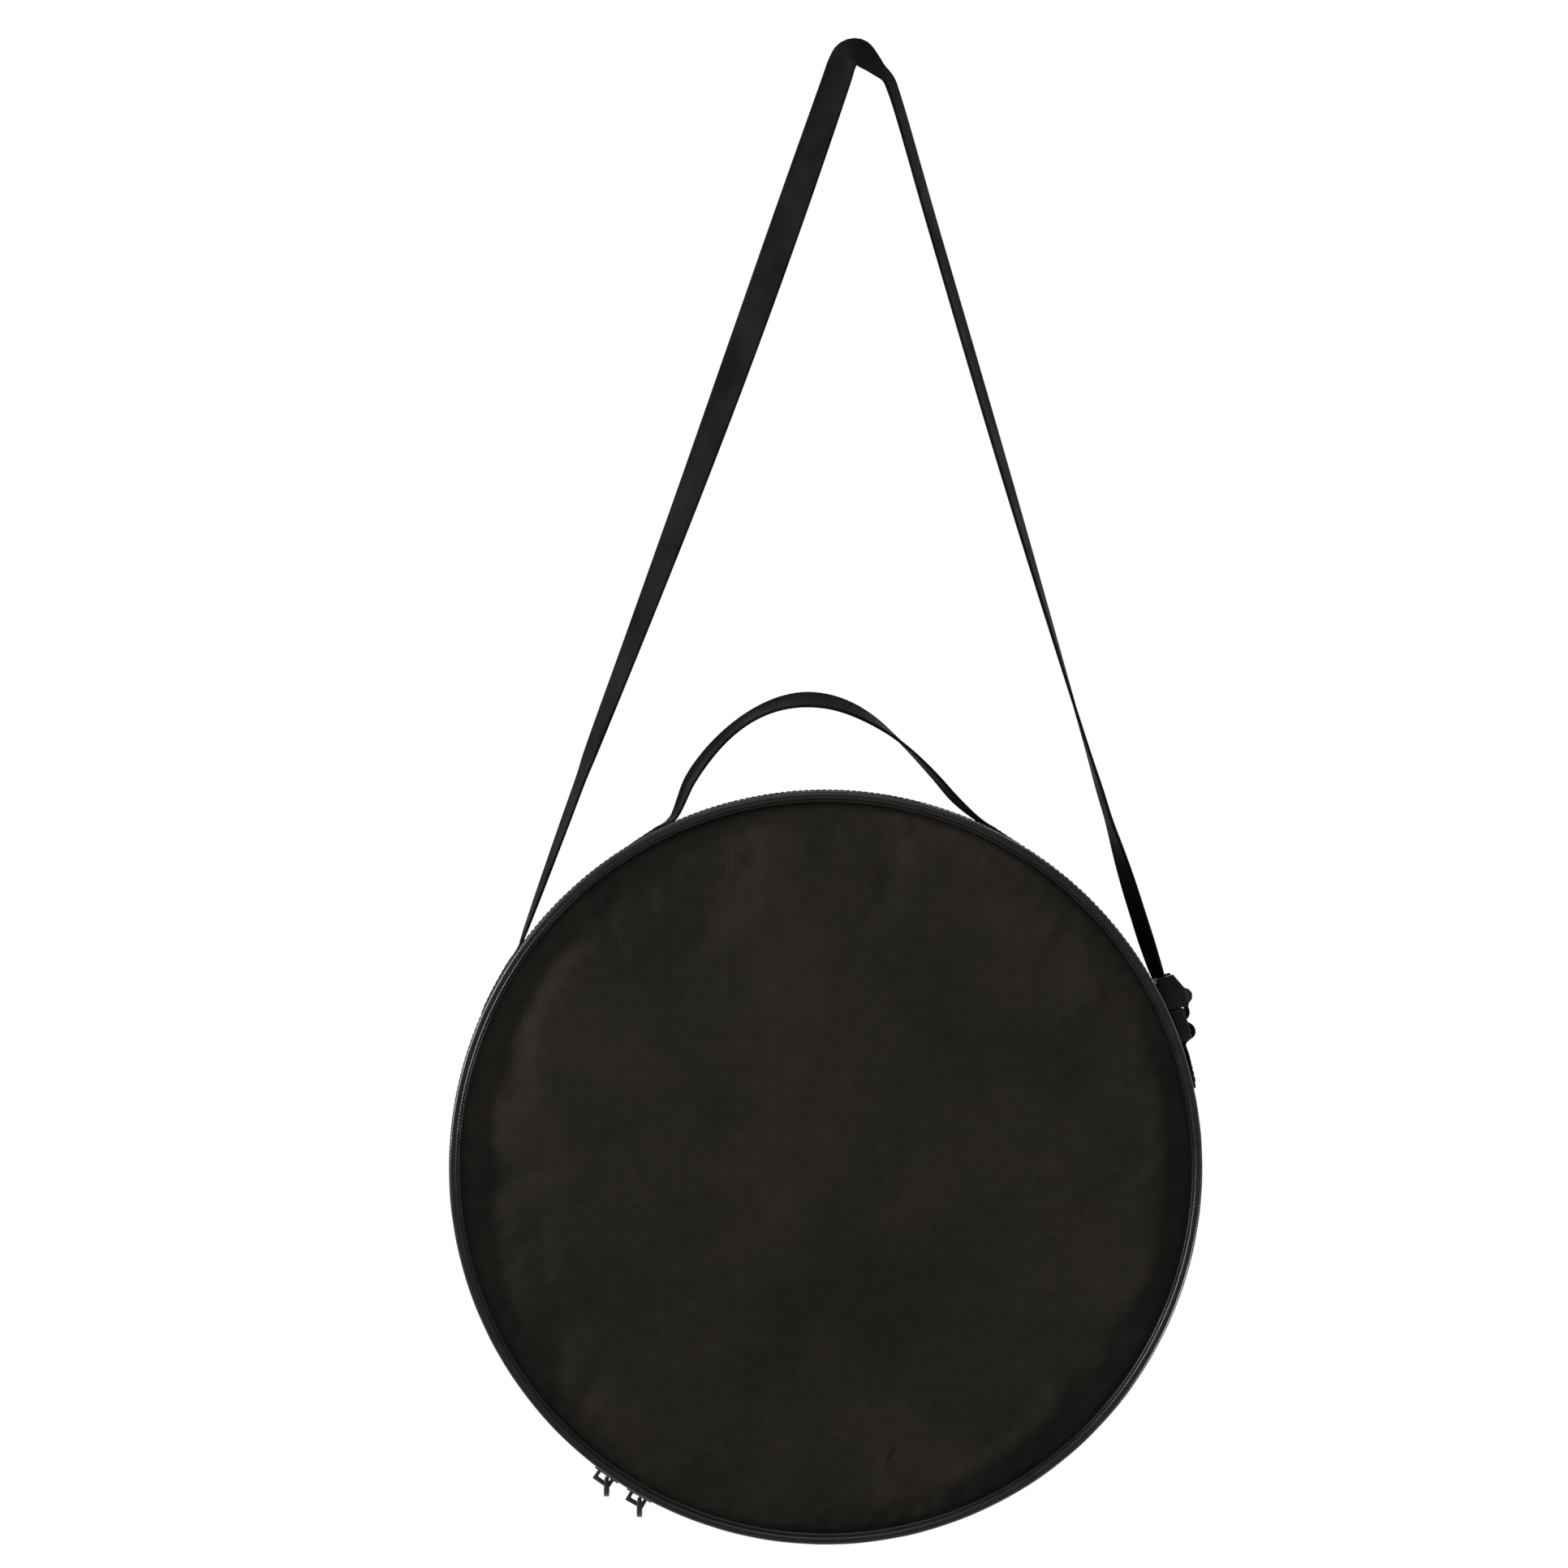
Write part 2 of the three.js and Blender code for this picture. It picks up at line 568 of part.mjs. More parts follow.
// The adjuster's three bars: the strap runs outside the two outer bars and inside the middle one.
const adjusterIn = WEBBING / 2 + RING_PLAY + ADJUSTER_THICKNESS;
const adjusterLowU = (() => {
  const corner = right.at(0, -adjusterIn);
  const along = corner.dot(right.up);
  const clear = crestRadius + 2 * GAP;
  return Math.sqrt(along ** 2 - corner.lengthSq() + clear ** 2) - along;
})(); // as low as the inner bars clear the wall
const adjusterLength = 3 * ADJUSTER_BAR + 2 * ADJUSTER_SLOT;
const middleBarU = adjusterLowU + adjusterLength / 2;
const middleReach = Math.hypot(ADJUSTER_BAR / 2, ADJUSTER_THICKNESS / 2) + RING_PLAY;
const middleBarV = WEBBING / 2 + RING_PLAY + WEBBING + middleReach;

function adjusterGeometry() {
  const inner = WEBBING_WIDTH / 2 + RING_PLAY;
  const outer = inner + ADJUSTER_RAIL;
  const outwards = middleBarV + ADJUSTER_THICKNESS / 2;
  const highU = adjusterLowU + adjusterLength;
  const bars = [
    [-adjusterIn, -adjusterIn + ADJUSTER_THICKNESS, adjusterLowU],
    [-adjusterIn, -adjusterIn + ADJUSTER_THICKNESS, highU - ADJUSTER_BAR],
    [middleBarV - ADJUSTER_THICKNESS / 2, outwards, middleBarU - ADJUSTER_BAR / 2],
  ];
  const pieces = bars.map(([low, high, u]) => {
    return boxBetween(vec(low, -outer, u), vec(high, outer, u + ADJUSTER_BAR));
  });
  const footU = ringTopU + RING_BAR / 2 + GAP;
  const wall = new THREE.Shape([
    new THREE.Vector2(-adjusterIn, adjusterLowU),
    new THREE.Vector2(0, footU),
    new THREE.Vector2(outwards + ADJUSTER_FLARE, footU),
    new THREE.Vector2(outwards + ADJUSTER_FLARE, middleBarU),
    new THREE.Vector2(outwards, highU),
    new THREE.Vector2(-adjusterIn, highU),
  ]);
  for (const side of [-1, 1]) {
    pieces.push(alongY(wall, (side * (inner + outer)) / 2, ADJUSTER_RAIL));
  }
  return geometryOf(pieces.map(solidOf).reduce((sum, piece) => sum.add(piece)));
}

// The strap's sewn end: up from the ring in a slack bow, and over the adjuster's middle bar.
function returnLayer() {
  const wrap = middleReach + WEBBING / 2;
  const fromU = ringTopU + RING_PLAY + GAP;
  const fromV = 2 * ringV;
  const toU = middleBarU;
  const toV = middleBarV + wrap;
  const rise = [];
  const steps = 12;
  for (let i = 0; i <= steps; i++) {
    const share = i / steps;
    const bow = RETURN_BOW * Math.sin(Math.PI * share) ** 2;
    const ease = share * share * (3 - 2 * share);
    const v = THREE.MathUtils.lerp(fromV, toV, ease) + bow;
    rise.push(right.at(THREE.MathUtils.lerp(fromU, toU, share), v));
  }
  const over = [];
  const turns = 8;
  for (let i = 1; i <= turns; i++) {
    const angle = (i / turns) * Math.PI;
    over.push(right.at(toU + wrap * Math.sin(angle), middleBarV + wrap * Math.cos(angle)));
  }
  return alongY(webbingOutline([...rise, ...over]), 0, WEBBING_WIDTH);
}

function ringGeometry() {
  const inner = WEBBING_WIDTH / 2 + RING_PLAY;
  const outer = inner + RING_WALL;
  const half = RING_BAR / 2;
  const out = ringV + half;
  const pieces = [0, ringTopU].map((u) => {
    return boxBetween(vec(ringV - half, -outer, u - half), vec(out, outer, u + half));
  });
  for (const [from, to] of [[-outer, -inner], [inner, outer]]) {
    pieces.push(boxBetween(vec(out - RING_SIDE, from, -RING_BAR), vec(out, to, ringTopU + half)));
  }
  return geometryOf(pieces.map(solidOf).reduce((sum, piece) => sum.add(piece)));
}

function arcPoints(x, z, radius, from, to, steps, endRadius = radius) {
  const points = [];
  for (let i = 0; i <= steps; i++) {
    const angle = THREE.MathUtils.lerp(from, to, i / steps);
    const reach = THREE.MathUtils.lerp(radius, endRadius, i / steps);
    points.push(new THREE.Vector2(x + reach * Math.cos(angle), z + reach * Math.sin(angle)));
  }
  return points;
}

// Webbing tab: folded round the ring's lower bar; both layers come down to the back band and are sewn there.
function ringTab() {
  const seat = right.at(0, ringV);
  const eyeOut = barReach + WEBBING;
  const eyeAngle = Math.atan2(seat.z, seat.x);
  const innerRadius = Math.hypot(seat.x, seat.z) - eyeOut;
  const outerRadius = innerRadius + 2 * WEBBING;
  const fall = innerRadius - crestRadius - GAP;
  const endAngle = eyeAngle - TAB_LENGTH / innerRadius;
  const seatRadius = innerRadius + eyeOut;
  const meet = Math.acos((outerRadius ** 2 + seatRadius ** 2 - eyeOut ** 2) / (2 * outerRadius * seatRadius));
  const meetAngle = eyeAngle - meet;
  const meetX = outerRadius * Math.cos(meetAngle);
  const meetZ = outerRadius * Math.sin(meetAngle);
  const meetTurn = Math.atan2(meetZ - seat.z, meetX - seat.x);
  const outline = new THREE.Shape([
    ...arcPoints(0, 0, outerRadius - fall, endAngle, meetAngle, 6, outerRadius),
    ...arcPoints(seat.x, seat.z, eyeOut, meetTurn, eyeAngle + Math.PI, 16).slice(1, -1),
    ...arcPoints(0, 0, innerRadius, eyeAngle, endAngle, 6, innerRadius - fall),
  ]);
  const eye = new THREE.Path();
  eye.absarc(seat.x, seat.z, barReach, 0, 2 * Math.PI, true);
  outline.holes.push(eye);
  return alongY(outline, 0, WEBBING_WIDTH, 14);
}

function makeRightHardware() {
  const group = new THREE.Group();
  const touch = right.at(0);
  group.position.set(touch.x, 0, touch.z);
  group.rotation.y = -Math.atan2(right.out.z, right.out.x);
  group.add(
    named("strap_ring", ringGeometry(), MATERIALS.buckle),
    named("strap_adjuster", adjusterGeometry(), MATERIALS.buckle),
  );
  return group;
}

// The carry handle's middle line, from the left sewn end over the crown to the right one.
const footAngle = Math.acos(HANDLE_FOOT / touchRadius);
const footZ = touchRadius * Math.sin(footAngle);
const crownZ = crestRadius + HANDLE_RISE;

function handleLeg(side, fullness, shares) {
  const footX = side * HANDLE_FOOT;
  return shares.map((share) => {
    const climb = (1 - (1 - share) ** 2) ** fullness;
    const x = THREE.MathUtils.lerp(footX, HANDLE_LEAN, share);
    return vec(x, 0, THREE.MathUtils.lerp(footZ, crownZ, climb));
  });
}

// The share of a leg's run at which it reaches a height above the feet.
function handleShare(fullness, height) {
  const climb = height / (crownZ - footZ);
  return 1 - Math.sqrt(1 - climb ** (1 / fullness));
}

function handleArch() {
  const shares = (fullness) => {
    const from = handleShare(fullness, HANDLE_FOLD + FLEX_TRIM);
    return [0, 0.2, 0.4, 0.6, 0.8].map((step) => THREE.MathUtils.lerp(from, 1, step));
  };
  const rise = handleLeg(-1, LEFT_FULLNESS, shares(LEFT_FULLNESS));
  const fall = handleLeg(1, RIGHT_FULLNESS, shares(RIGHT_FULLNESS)).reverse();
  const points = [...rise, vec(HANDLE_LEAN, 0, crownZ), ...fall];
  return webbing(points, HANDLE_ROLLS, 5);
}

function handleFold(side, fullness) {
  const [place] = handleLeg(side, fullness, [handleShare(fullness, HANDLE_FOLD)]);
  return place;
}

function handleEnd(side, fullness) {
  const sign = side < 0 ? 1 : -1;
  const foot = side < 0 ? Math.PI - footAngle : footAngle;
  const sewn = wallRun(foot + (sign * HANDLE_SEWN) / touchRadius, foot);
  const fold = handleShare(fullness, HANDLE_FOLD);
  const over = handleShare(fullness, HANDLE_FOLD + WEBBING_WIDTH / 2 + WEBBING);
  const leg = handleLeg(side, fullness, [fold * 0.5, fold, (fold + over) / 2, over]);
  return alongY(webbingOutline([...sewn, ...leg]), 0, WEBBING_WIDTH);
}

const leftHandleFold = handleFold(-1, LEFT_FULLNESS);
const rightHandleFold = handleFold(1, RIGHT_FULLNESS);

// The whole pouch, about its own centre
const pouch = new THREE.Group();
pouch.position.set(centreX, 0, centreZ);
pouch.add(makeLid(), makeBody(), makeSlider("a"), makeSlider("b"), makeRightHardware());
const webbingParts = [
  ["strap_left_end", lowerLength(leftEnd(), leftFold.x, leftFold.z)],
  ["strap_right_end", lowerLength(rightEnd(), rightFold.x, rightFold.z)],
  ["strap_return", returnLayer()],
  ["ring_tab", ringTab()],
  ["handle_left_end", lowerLength(handleEnd(-1, LEFT_FULLNESS), leftHandleFold.x, leftHandleFold.z)],
  ["handle_right_end", lowerLength(handleEnd(1, RIGHT_FULLNESS), rightHandleFold.x, rightHandleFold.z)],
  ["carry_handle", upperLength(handleArch(), [leftHandleFold, rightHandleFold])],
];
for (const [name, geometry] of webbingParts) {
  pouch.add(named(name, geometry, MATERIALS.webbing));
}

const part = new THREE.Group();
const strap = upperLength(strapRun(), [toRow(leftFold), toRow(rightFold)]);
part.add(pouch, named("shoulder_strap", strap, MATERIALS.webbing));

export default part;
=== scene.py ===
# %% [markdown]
# # A round zip pouch that hangs from its shoulder strap
# The imported model gives every piece its place and its joints. This lesson dresses it: cloth,
# piping, webbing, zip and hardware are modelled over the plain solids, and each one rides on
# the body that carries it. The frame is loaded first.

# %% Load the frame
from math import acos, atan2, cos, hypot, pi, radians, sin, sqrt

import bmesh
import bpy
from mathutils import Matrix, Vector, noise
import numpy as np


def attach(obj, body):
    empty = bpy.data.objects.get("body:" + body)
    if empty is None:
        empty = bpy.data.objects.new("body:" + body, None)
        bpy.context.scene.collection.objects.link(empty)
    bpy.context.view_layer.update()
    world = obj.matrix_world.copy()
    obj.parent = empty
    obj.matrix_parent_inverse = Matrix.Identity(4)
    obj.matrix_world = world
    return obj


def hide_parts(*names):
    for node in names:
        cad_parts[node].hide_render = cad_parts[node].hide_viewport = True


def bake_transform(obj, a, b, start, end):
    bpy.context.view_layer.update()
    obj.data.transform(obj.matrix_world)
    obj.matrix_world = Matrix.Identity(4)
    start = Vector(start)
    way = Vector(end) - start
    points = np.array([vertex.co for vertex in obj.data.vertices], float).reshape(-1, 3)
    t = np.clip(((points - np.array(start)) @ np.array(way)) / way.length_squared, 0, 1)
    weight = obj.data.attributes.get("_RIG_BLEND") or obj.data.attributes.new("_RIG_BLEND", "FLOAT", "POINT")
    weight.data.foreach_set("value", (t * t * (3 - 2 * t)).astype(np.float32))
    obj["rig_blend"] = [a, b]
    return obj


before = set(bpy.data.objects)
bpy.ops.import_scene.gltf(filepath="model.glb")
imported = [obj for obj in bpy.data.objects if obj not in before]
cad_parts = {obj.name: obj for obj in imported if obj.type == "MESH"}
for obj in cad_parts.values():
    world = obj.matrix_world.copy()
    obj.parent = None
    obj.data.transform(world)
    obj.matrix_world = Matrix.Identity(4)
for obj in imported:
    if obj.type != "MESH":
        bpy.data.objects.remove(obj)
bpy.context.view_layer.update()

# %% [markdown]
# ## Sizes
# These are the pouch's own sizes, in metres, the same ones that its solids were made from.
# Depths run along Y from the middle of the side wall, and the front faces -Y. Radii and angles
# are taken about the pouch's centre, with angles anticlockwise from +X as seen from the front.
# Most pieces come in two, one on each side of the zip, so the halves are listed once here.

# %% Sizes of the pouch, the zip and the webbing
MM = 0.001
CENTRE = Vector((-17, 0, -599)) * MM
RIM = 200 * MM
HALF_DEPTH = 55 * MM
BEAD = 4.6 * MM
SEAM = 0.3 * MM
CORNER = BEAD / 2 * (1 + sqrt(0.5))
WALL = RIM - CORNER - SEAM  # radius of the side wall at its seams
CREST = WALL + 4 * MM  # and where it swells out most
PANEL_Y = HALF_DEPTH - CORNER - SEAM
CLOTH = 1.2 * MM
BAND_END = PANEL_Y - CLOTH - SEAM
TAPER = 11 * MM  # the wall draws in over this depth towards a seam
CREST_END = BAND_END - TAPER
ZIP_WIDE = 24 * MM
ZIP_EDGE = {-1: -CREST_END, 1: -CREST_END + ZIP_WIDE}
ZIP_MIDDLE = ZIP_EDGE[-1] + ZIP_WIDE / 2
ZIP_ENDS = (radians(-57.5), radians(243.3))
WEB_WIDE = 25 * MM
WEB_THICK = 1.7 * MM
TOUCH = CREST + SEAM + WEB_THICK / 2  # radius of webbing that lies on the wall
SWING_Z = CENTRE.z + 208 * MM
HALVES = ((-1, "front", "lid"), (1, "back", "pouch"))  # side along Y, name, body


def around(radius, angle, y):
    """A point on the round wall."""
    return CENTRE + Vector((radius * cos(angle), y, radius * sin(angle)))


def wall_at(y):
    """Radius of the wall's outer face at a depth: level round the middle, drawn in to the seams."""
    share = min(1.0, max(0.0, (BAND_END - abs(y)) / TAPER))
    return WALL + (CREST - WALL) * sin(pi / 2 * share)


print(f"wall radius {WALL / MM:.1f} to {CREST / MM:.1f} mm, panels at {PANEL_Y / MM:.1f} mm")

# %% [markdown]
# ## Colour and nodes
# Colours are written as sRGB hex, as a colour picker shows them, and Blender's sockets take
# linear values, so one function converts them. Another small function adds a node, sets its
# options and fills or links its inputs. Every finish ends the same way: a pattern gives its
# colour, a noise moves its roughness between two values, and a height makes its relief. The last
# function here adds those nodes and links them to the shader.

# %% Colour and node helpers


def linear(hex_text):
    """An sRGB hex colour as linear RGBA."""
    shares = [int(hex_text[i : i + 2], 16) / 255 for i in (1, 3, 5)]
    return (*[s / 12.92 if s <= 0.04045 else ((s + 0.055) / 1.055) ** 2.4 for s in shares], 1.0)


def add(tree, kind, inputs=None, stops=(), **settings):
    """Add a node. An input takes a value, an output, or a node for that node's first output."""
    node = tree.nodes.new("ShaderNode" + kind)
    for name, value in settings.items():
        setattr(node, name, value)
    for name, value in (inputs or {}).items():
        if isinstance(value, bpy.types.Node):
            value = value.outputs[0]
        if isinstance(value, bpy.types.NodeSocket):
            tree.links.new(value, node.inputs[name])
        else:
            node.inputs[name].default_value = value
    for i, (position, colour) in enumerate(stops):
        node.color_ramp.elements[i].position = position
        node.color_ramp.elements[i].color = linear(colour)
    return node


def shader_input(material, socket):
    """A socket of the material's shader, written with _ for a space."""
    return material.node_tree.nodes["Principled BSDF"].inputs[socket.replace("_", " ")]


def new_material(name, **sockets):
    """A material with its shader's uniform values set, and its tree."""
    material = bpy.data.materials.new(name)
    material.use_nodes = True
    for socket, value in sockets.items():
        shader_input(material, socket).default_value = value
    return material, material.node_tree


def wired(material, **nodes):
    """Link the nodes that end a pattern to the shader's sockets."""
    for socket, node in nodes.items():
        material.node_tree.links.new(node.outputs[0], shader_input(material, socket))
    return material


NOISE_SPAN = {"From Min": 0.3, "From Max": 0.7}  # most of a noise texture lies in here
WAVE = 2 * pi / 20  # a wave texture of scale 1 repeats after this many units


def finished(material, colour, gloss, relief):
    """End a finish: gloss is a noise and two roughnesses, relief a height, depth and strength."""
    tree = material.node_tree
    spots, low, high = gloss
    rough = add(tree, "MapRange", {"Value": spots, **NOISE_SPAN, "To Min": low, "To Max": high})
    height, depth, strength = relief
    bump = add(tree, "Bump", {"Height": height, "Distance": depth, "Strength": strength})
    return wired(material, Base_Color=colour, Roughness=rough, Normal=bump)


print("helpers ready")

# %% [markdown]
# ## Woven cloth
# The panels and bands are a dull black polyester, woven plain from textured yarn and coated on
# the inside. The eye sees a warm black with faint cloudy patches where the cloth has been
# handled. The real threads lie about 0.5 mm apart, too fine for the picture, so the weave is
# drawn 1.7 mm wide. Two waves that cross make it, on a UV map in metres that follows the cloth.

# %% Woven polyester


def make_woven_polyester():
    material, tree = new_material("woven_black_polyester", Specular_IOR_Level=0.03)
    flat = add(tree, "UVMap", uv_map="cloth")
    place = add(tree, "TexCoord").outputs["Object"]
    threads = {"Vector": flat, "Scale": WAVE / (1.7 * MM)}
    warp = add(tree, "TexWave", threads, bands_direction="X").outputs["Fac"]
    weft = add(tree, "TexWave", threads, bands_direction="Y").outputs["Fac"]
    weave = add(tree, "Math", {0: warp, 1: weft}, operation="MULTIPLY")
    handled = {"Vector": place, "Scale": 1 / (70 * MM), "Detail": 3.0, "Roughness": 0.55}
    clouds = add(tree, "TexNoise", handled)
    specks = add(tree, "TexNoise", {"Vector": place, "Scale": 1 / (6 * MM), "Detail": 2.0})
    tone = add(tree, "ValToRGB", {"Fac": clouds}, stops=((0.34, "#1d1b18"), (0.68, "#24211e")))
    shade = add(tree, "MapRange", {"Value": weave, "To Min": 0.86, "To Max": 1.1})
    grain = add(tree, "MapRange", {"Value": specks, **NOISE_SPAN, "To Min": 0.9, "To Max": 1.1})
    both = add(tree, "Math", {0: shade, 1: grain}, operation="MULTIPLY")
    colour = add(tree, "VectorMath", {0: tone, "Scale": both}, operation="SCALE")
    return finished(material, colour, (clouds, 0.92, 0.78), (weave, 0.25 * MM, 0.35))


woven_polyester = make_woven_polyester()
print("made", woven_polyester.name)

# %% [markdown]
# ## Piping cover
# The piping is a cord in a bias strip of thin coated cloth. Stretched over the cord, it is
# smoother than the panels and catches light in long streaks. Slanting fine threads, 1.5 mm
# apart here so that they show, and small dents along the cord break the streak up.

# %% Coated bias strip


def make_bias_strip():
    material, tree = new_material("coated_bias_strip", Specular_IOR_Level=0.12)
    flat = add(tree, "UVMap", uv_map="cloth")
    slant = add(tree, "Mapping", {"Vector": flat, "Rotation": (0.0, 0.0, radians(40))})
    threads = add(tree, "TexWave", {"Vector": slant, "Scale": WAVE / (1.5 * MM)}).outputs["Fac"]
    dents = add(tree, "TexNoise", {"Vector": flat, "Scale": 1 / (9 * MM), "Detail": 2.0})
    tone = add(tree, "ValToRGB", {"Fac": dents}, stops=((0.0, "#100f0e"), (1.0, "#181715")))
    height = add(tree, "Math", {0: threads, 1: 0.35, 2: dents}, operation="MULTIPLY_ADD")
    return finished(material, tone, (dents, 0.2, 0.32), (height, 0.2 * MM, 0.4))


bias_strip = make_bias_strip()
print("made", bias_strip.name)

# %% [markdown]
# ## Webbing
# Strap and handle are polypropylene webbing, woven in a chevron with hard edges. The yarn is
# smooth. The low, streaky shine across the ribs is painted: the colour is painted lighter on the
# rib crests as a painted sheen, and darker between them as painted shade. The ribs are 2.2 mm
# apart, close to the real ones. The UV map of a webbing runs along it in U and across it in V, in
# metres: V folded back and forth and added to U bends straight ribs into chevrons.

# %% Chevron webbing


def make_chevron_webbing():
    material, tree = new_material("polypropylene_chevron_webbing", Specular_IOR_Level=0.015)
    flat = add(tree, "UVMap", uv_map="webbing")
    parts = add(tree, "SeparateXYZ", {0: flat})
    along, across = parts.outputs["X"], parts.outputs["Y"]
    fold = add(tree, "Math", {0: across, 1: WEB_WIDE / 4}, operation="PINGPONG")
    bent = add(tree, "Math", {0: along, 1: fold}, operation="ADD")
    lane = add(tree, "CombineXYZ", {"X": bent, "Y": across})
    ribs = add(tree, "TexWave", {"Vector": lane, "Scale": WAVE / (2.2 * MM)}, bands_direction="X")
    yarn = add(tree, "TexWave", {"Vector": lane, "Scale": WAVE / (1.6 * MM)}, bands_direction="Y")
    raised = {0: yarn.outputs["Fac"], 1: 0.5, 2: ribs.outputs["Fac"]}
    height = add(tree, "Math", raised, operation="MULTIPLY_ADD")
    wear = add(tree, "TexNoise", {"Vector": flat, "Scale": 1 / (35 * MM), "Detail": 3.0})
    tone = add(tree, "ValToRGB", {"Fac": wear}, stops=((0.35, "#0a0909"), (0.7, "#131211")))
    # painted sheen on the rib crests and painted shade in the hollows between them
    shade = add(tree, "MapRange", {"Value": height, "From Max": 1.5, "To Min": 0.72, "To Max": 1.2})
    colour = add(tree, "VectorMath", {0: tone, "Scale": shade}, operation="SCALE")
    return finished(material, colour, (wear, 0.92, 0.78), (height, 0.3 * MM, 0.5))


chevron_webbing = make_chevron_webbing()
print("made", chevron_webbing.name)

# %% [markdown]
# ## Zip tape, lining and binding
# Zip tape is a flat knitted polyester with a fine slanting twill. The lining is a thin taffeta
# with a slight sheen, and the binding inside is a grosgrain tape with cross ribs. All three are
# plain ribs at different angles, widths and gloss, so one function with those numbers makes them.
# Their ribs are drawn about 1.5 mm apart, coarser than the real ones, so that they show.

# %% Ribbed tapes and taffeta


def make_ribbed_cloth(name, dark, light, pitch, slant, roughness, shine):
    material, tree = new_material(name, Specular_IOR_Level=shine)
    flat = add(tree, "UVMap", uv_map="cloth")
    turn = add(tree, "Mapping", {"Vector": flat, "Rotation": (0.0, 0.0, radians(slant))})
    ribs = add(tree, "TexWave", {"Vector": turn, "Scale": WAVE / pitch}).outputs["Fac"]
    patches = add(tree, "TexNoise", {"Vector": flat, "Scale": 1 / (25 * MM), "Detail": 3.0})
    mix = add(tree, "Math", {0: ribs, 1: 0.6, 2: patches}, operation="MULTIPLY_ADD")
    tone = add(tree, "ValToRGB", {"Fac": mix}, stops=((0.3, dark), (1.0, light)))
    gloss = (patches, roughness + 0.06, roughness - 0.06)
    return finished(material, tone, gloss, (mix, 0.2 * MM, 0.4))


zip_twill = make_ribbed_cloth("knitted_zip_tape", "#151515", "#222120", 1.4 * MM, 35, 0.82, 0.05)
taffeta = make_ribbed_cloth("lining_taffeta", "#1c1c1d", "#2a2a2b", 1.5 * MM, 90, 0.6, 0.15)
grosgrain = make_ribbed_cloth("binding_grosgrain", "#141413", "#201f1e", 1.6 * MM, 0, 0.75, 0.06)
print("made", zip_twill.name, taffeta.name, grosgrain.name)

# %% [markdown]
# ## Moulded, cast and spun
# The zip's coil is extruded nylon, the ring and adjuster are moulded acetal, the sliders are
# zinc castings under black enamel, and the seams are sewn in spun polyester. Each is nearly one
# colour. What tells them apart is gloss, so noise moves the roughness a little, in a grain that
# goes from 0.8 mm on the thread to 3 mm on the coil.

# %% Nylon, acetal, enamel and thread


def make_hard_finish(name, dark, light, grain, rough_low, rough_high, depth, shine):
    material, tree = new_material(name, Specular_IOR_Level=shine)
    place = add(tree, "TexCoord").outputs["Object"]
    fine = add(tree, "TexNoise", {"Vector": place, "Scale": 1 / grain, "Detail": 3.0})
    tone = add(tree, "ValToRGB", {"Fac": fine}, stops=((0.3, dark), (0.75, light)))
    return finished(material, tone, (fine, rough_low, rough_high), (fine, depth, 0.3))


nylon_coil, acetal, enamel, thread = [
    make_hard_finish(*finish)
    for finish in (
        ("extruded_nylon_coil", "#121212", "#1d1d1c", 3 * MM, 0.4, 0.52, 0.05 * MM, 0.2),
        ("moulded_black_acetal", "#0b0b0b", "#131312", 1.6 * MM, 0.36, 0.5, 0.08 * MM, 0.06),
        ("black_enamelled_zinc", "#141414", "#242321", 2.4 * MM, 0.26, 0.42, 0.05 * MM, 0.22),
        ("spun_polyester_thread", "#1b1a18", "#2c2a27", 0.8 * MM, 0.6, 0.75, 0.1 * MM, 0.05),
    )
]
print("made", nylon_coil.name, acetal.name, enamel.name, thread.name)

# %% [markdown]
# ## From a mesh in progress to a piece
# Every piece ends the same way: its UV map is written, its faces are shaded, it is given its
# finish and the body that carries it, and the solids that it stands for are hidden. A wall piece's
# map unrolls the wall: the way round it in U and the depth in V. A panel's map is simply X and Z.

# %% Finishing helper


def polar(vert):
    """A point's place from the pouch's centre, with its radius, its angle and the way outwards."""
    place = vert.co - CENTRE
    out = Vector((place.x, 0, place.z)).normalized()
    return place, hypot(place.x, place.z), atan2(place.z, place.x), out


def unrolled(vert):
    """UV in metres on the unrolled wall, with its cut at the middle of the base."""
    angle = polar(vert)[2]
    if angle < -pi / 2:
        angle += 2 * pi
    return angle * WALL, vert.co.y


def flat_front(vert):
    return vert.co.x, vert.co.z


def in_scene(name, data):
    """A new object in the scene that shows a mesh, a lamp or a camera."""
    item = bpy.data.objects.new(name, data)
    bpy.context.collection.objects.link(item)
    return item


def keep(
    bm, name, material, body=None, stands_for=(), uv=None, uv_name="cloth", smooth=True
):
    """Turn a bmesh into a finished piece."""
    if uv:
        layer = bm.loops.layers.uv.new(uv_name)
        for face in bm.faces:
            places = [uv(loop.vert) for loop in face.loops]
            spans_cut = max(u for u, v in places) - min(u for u, v in places) > WALL
            for loop, (u, v) in zip(face.loops, places):
                loop[layer].uv = (u + 2 * pi * WALL if spans_cut and u < WALL else u, v)
    for face in bm.faces:
        face.smooth = smooth
    open_edges = sum(not edge.is_manifold for edge in bm.edges)
    mesh = bpy.data.meshes.new(name)
    bm.to_mesh(mesh)
    bm.free()
    piece = in_scene(name, mesh)
    mesh.materials.append(material)
    if body:
        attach(piece, body)
    if stands_for:
        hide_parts(*stands_for)
    print(f"{name}: {len(mesh.polygons)} faces, {open_edges} open edges")
    return piece


# %% [markdown]
# ## Turning a section round the pouch
# Bands, tapes and piping are sections turned about the pouch's axis. A lathe does that in a
# workshop, and the spin operator does it here. A full turn merges its ends. Part of a turn
# starts from a face, so that both ends come out closed.

# %% Spin helper


def spun(bm, geom, angle, steps, **how):
    """Spin geometry about the pouch's axis."""
    bmesh.ops.spin(bm, geom=geom, cent=CENTRE, axis=(0, 1, 0), angle=angle, steps=steps, **how)


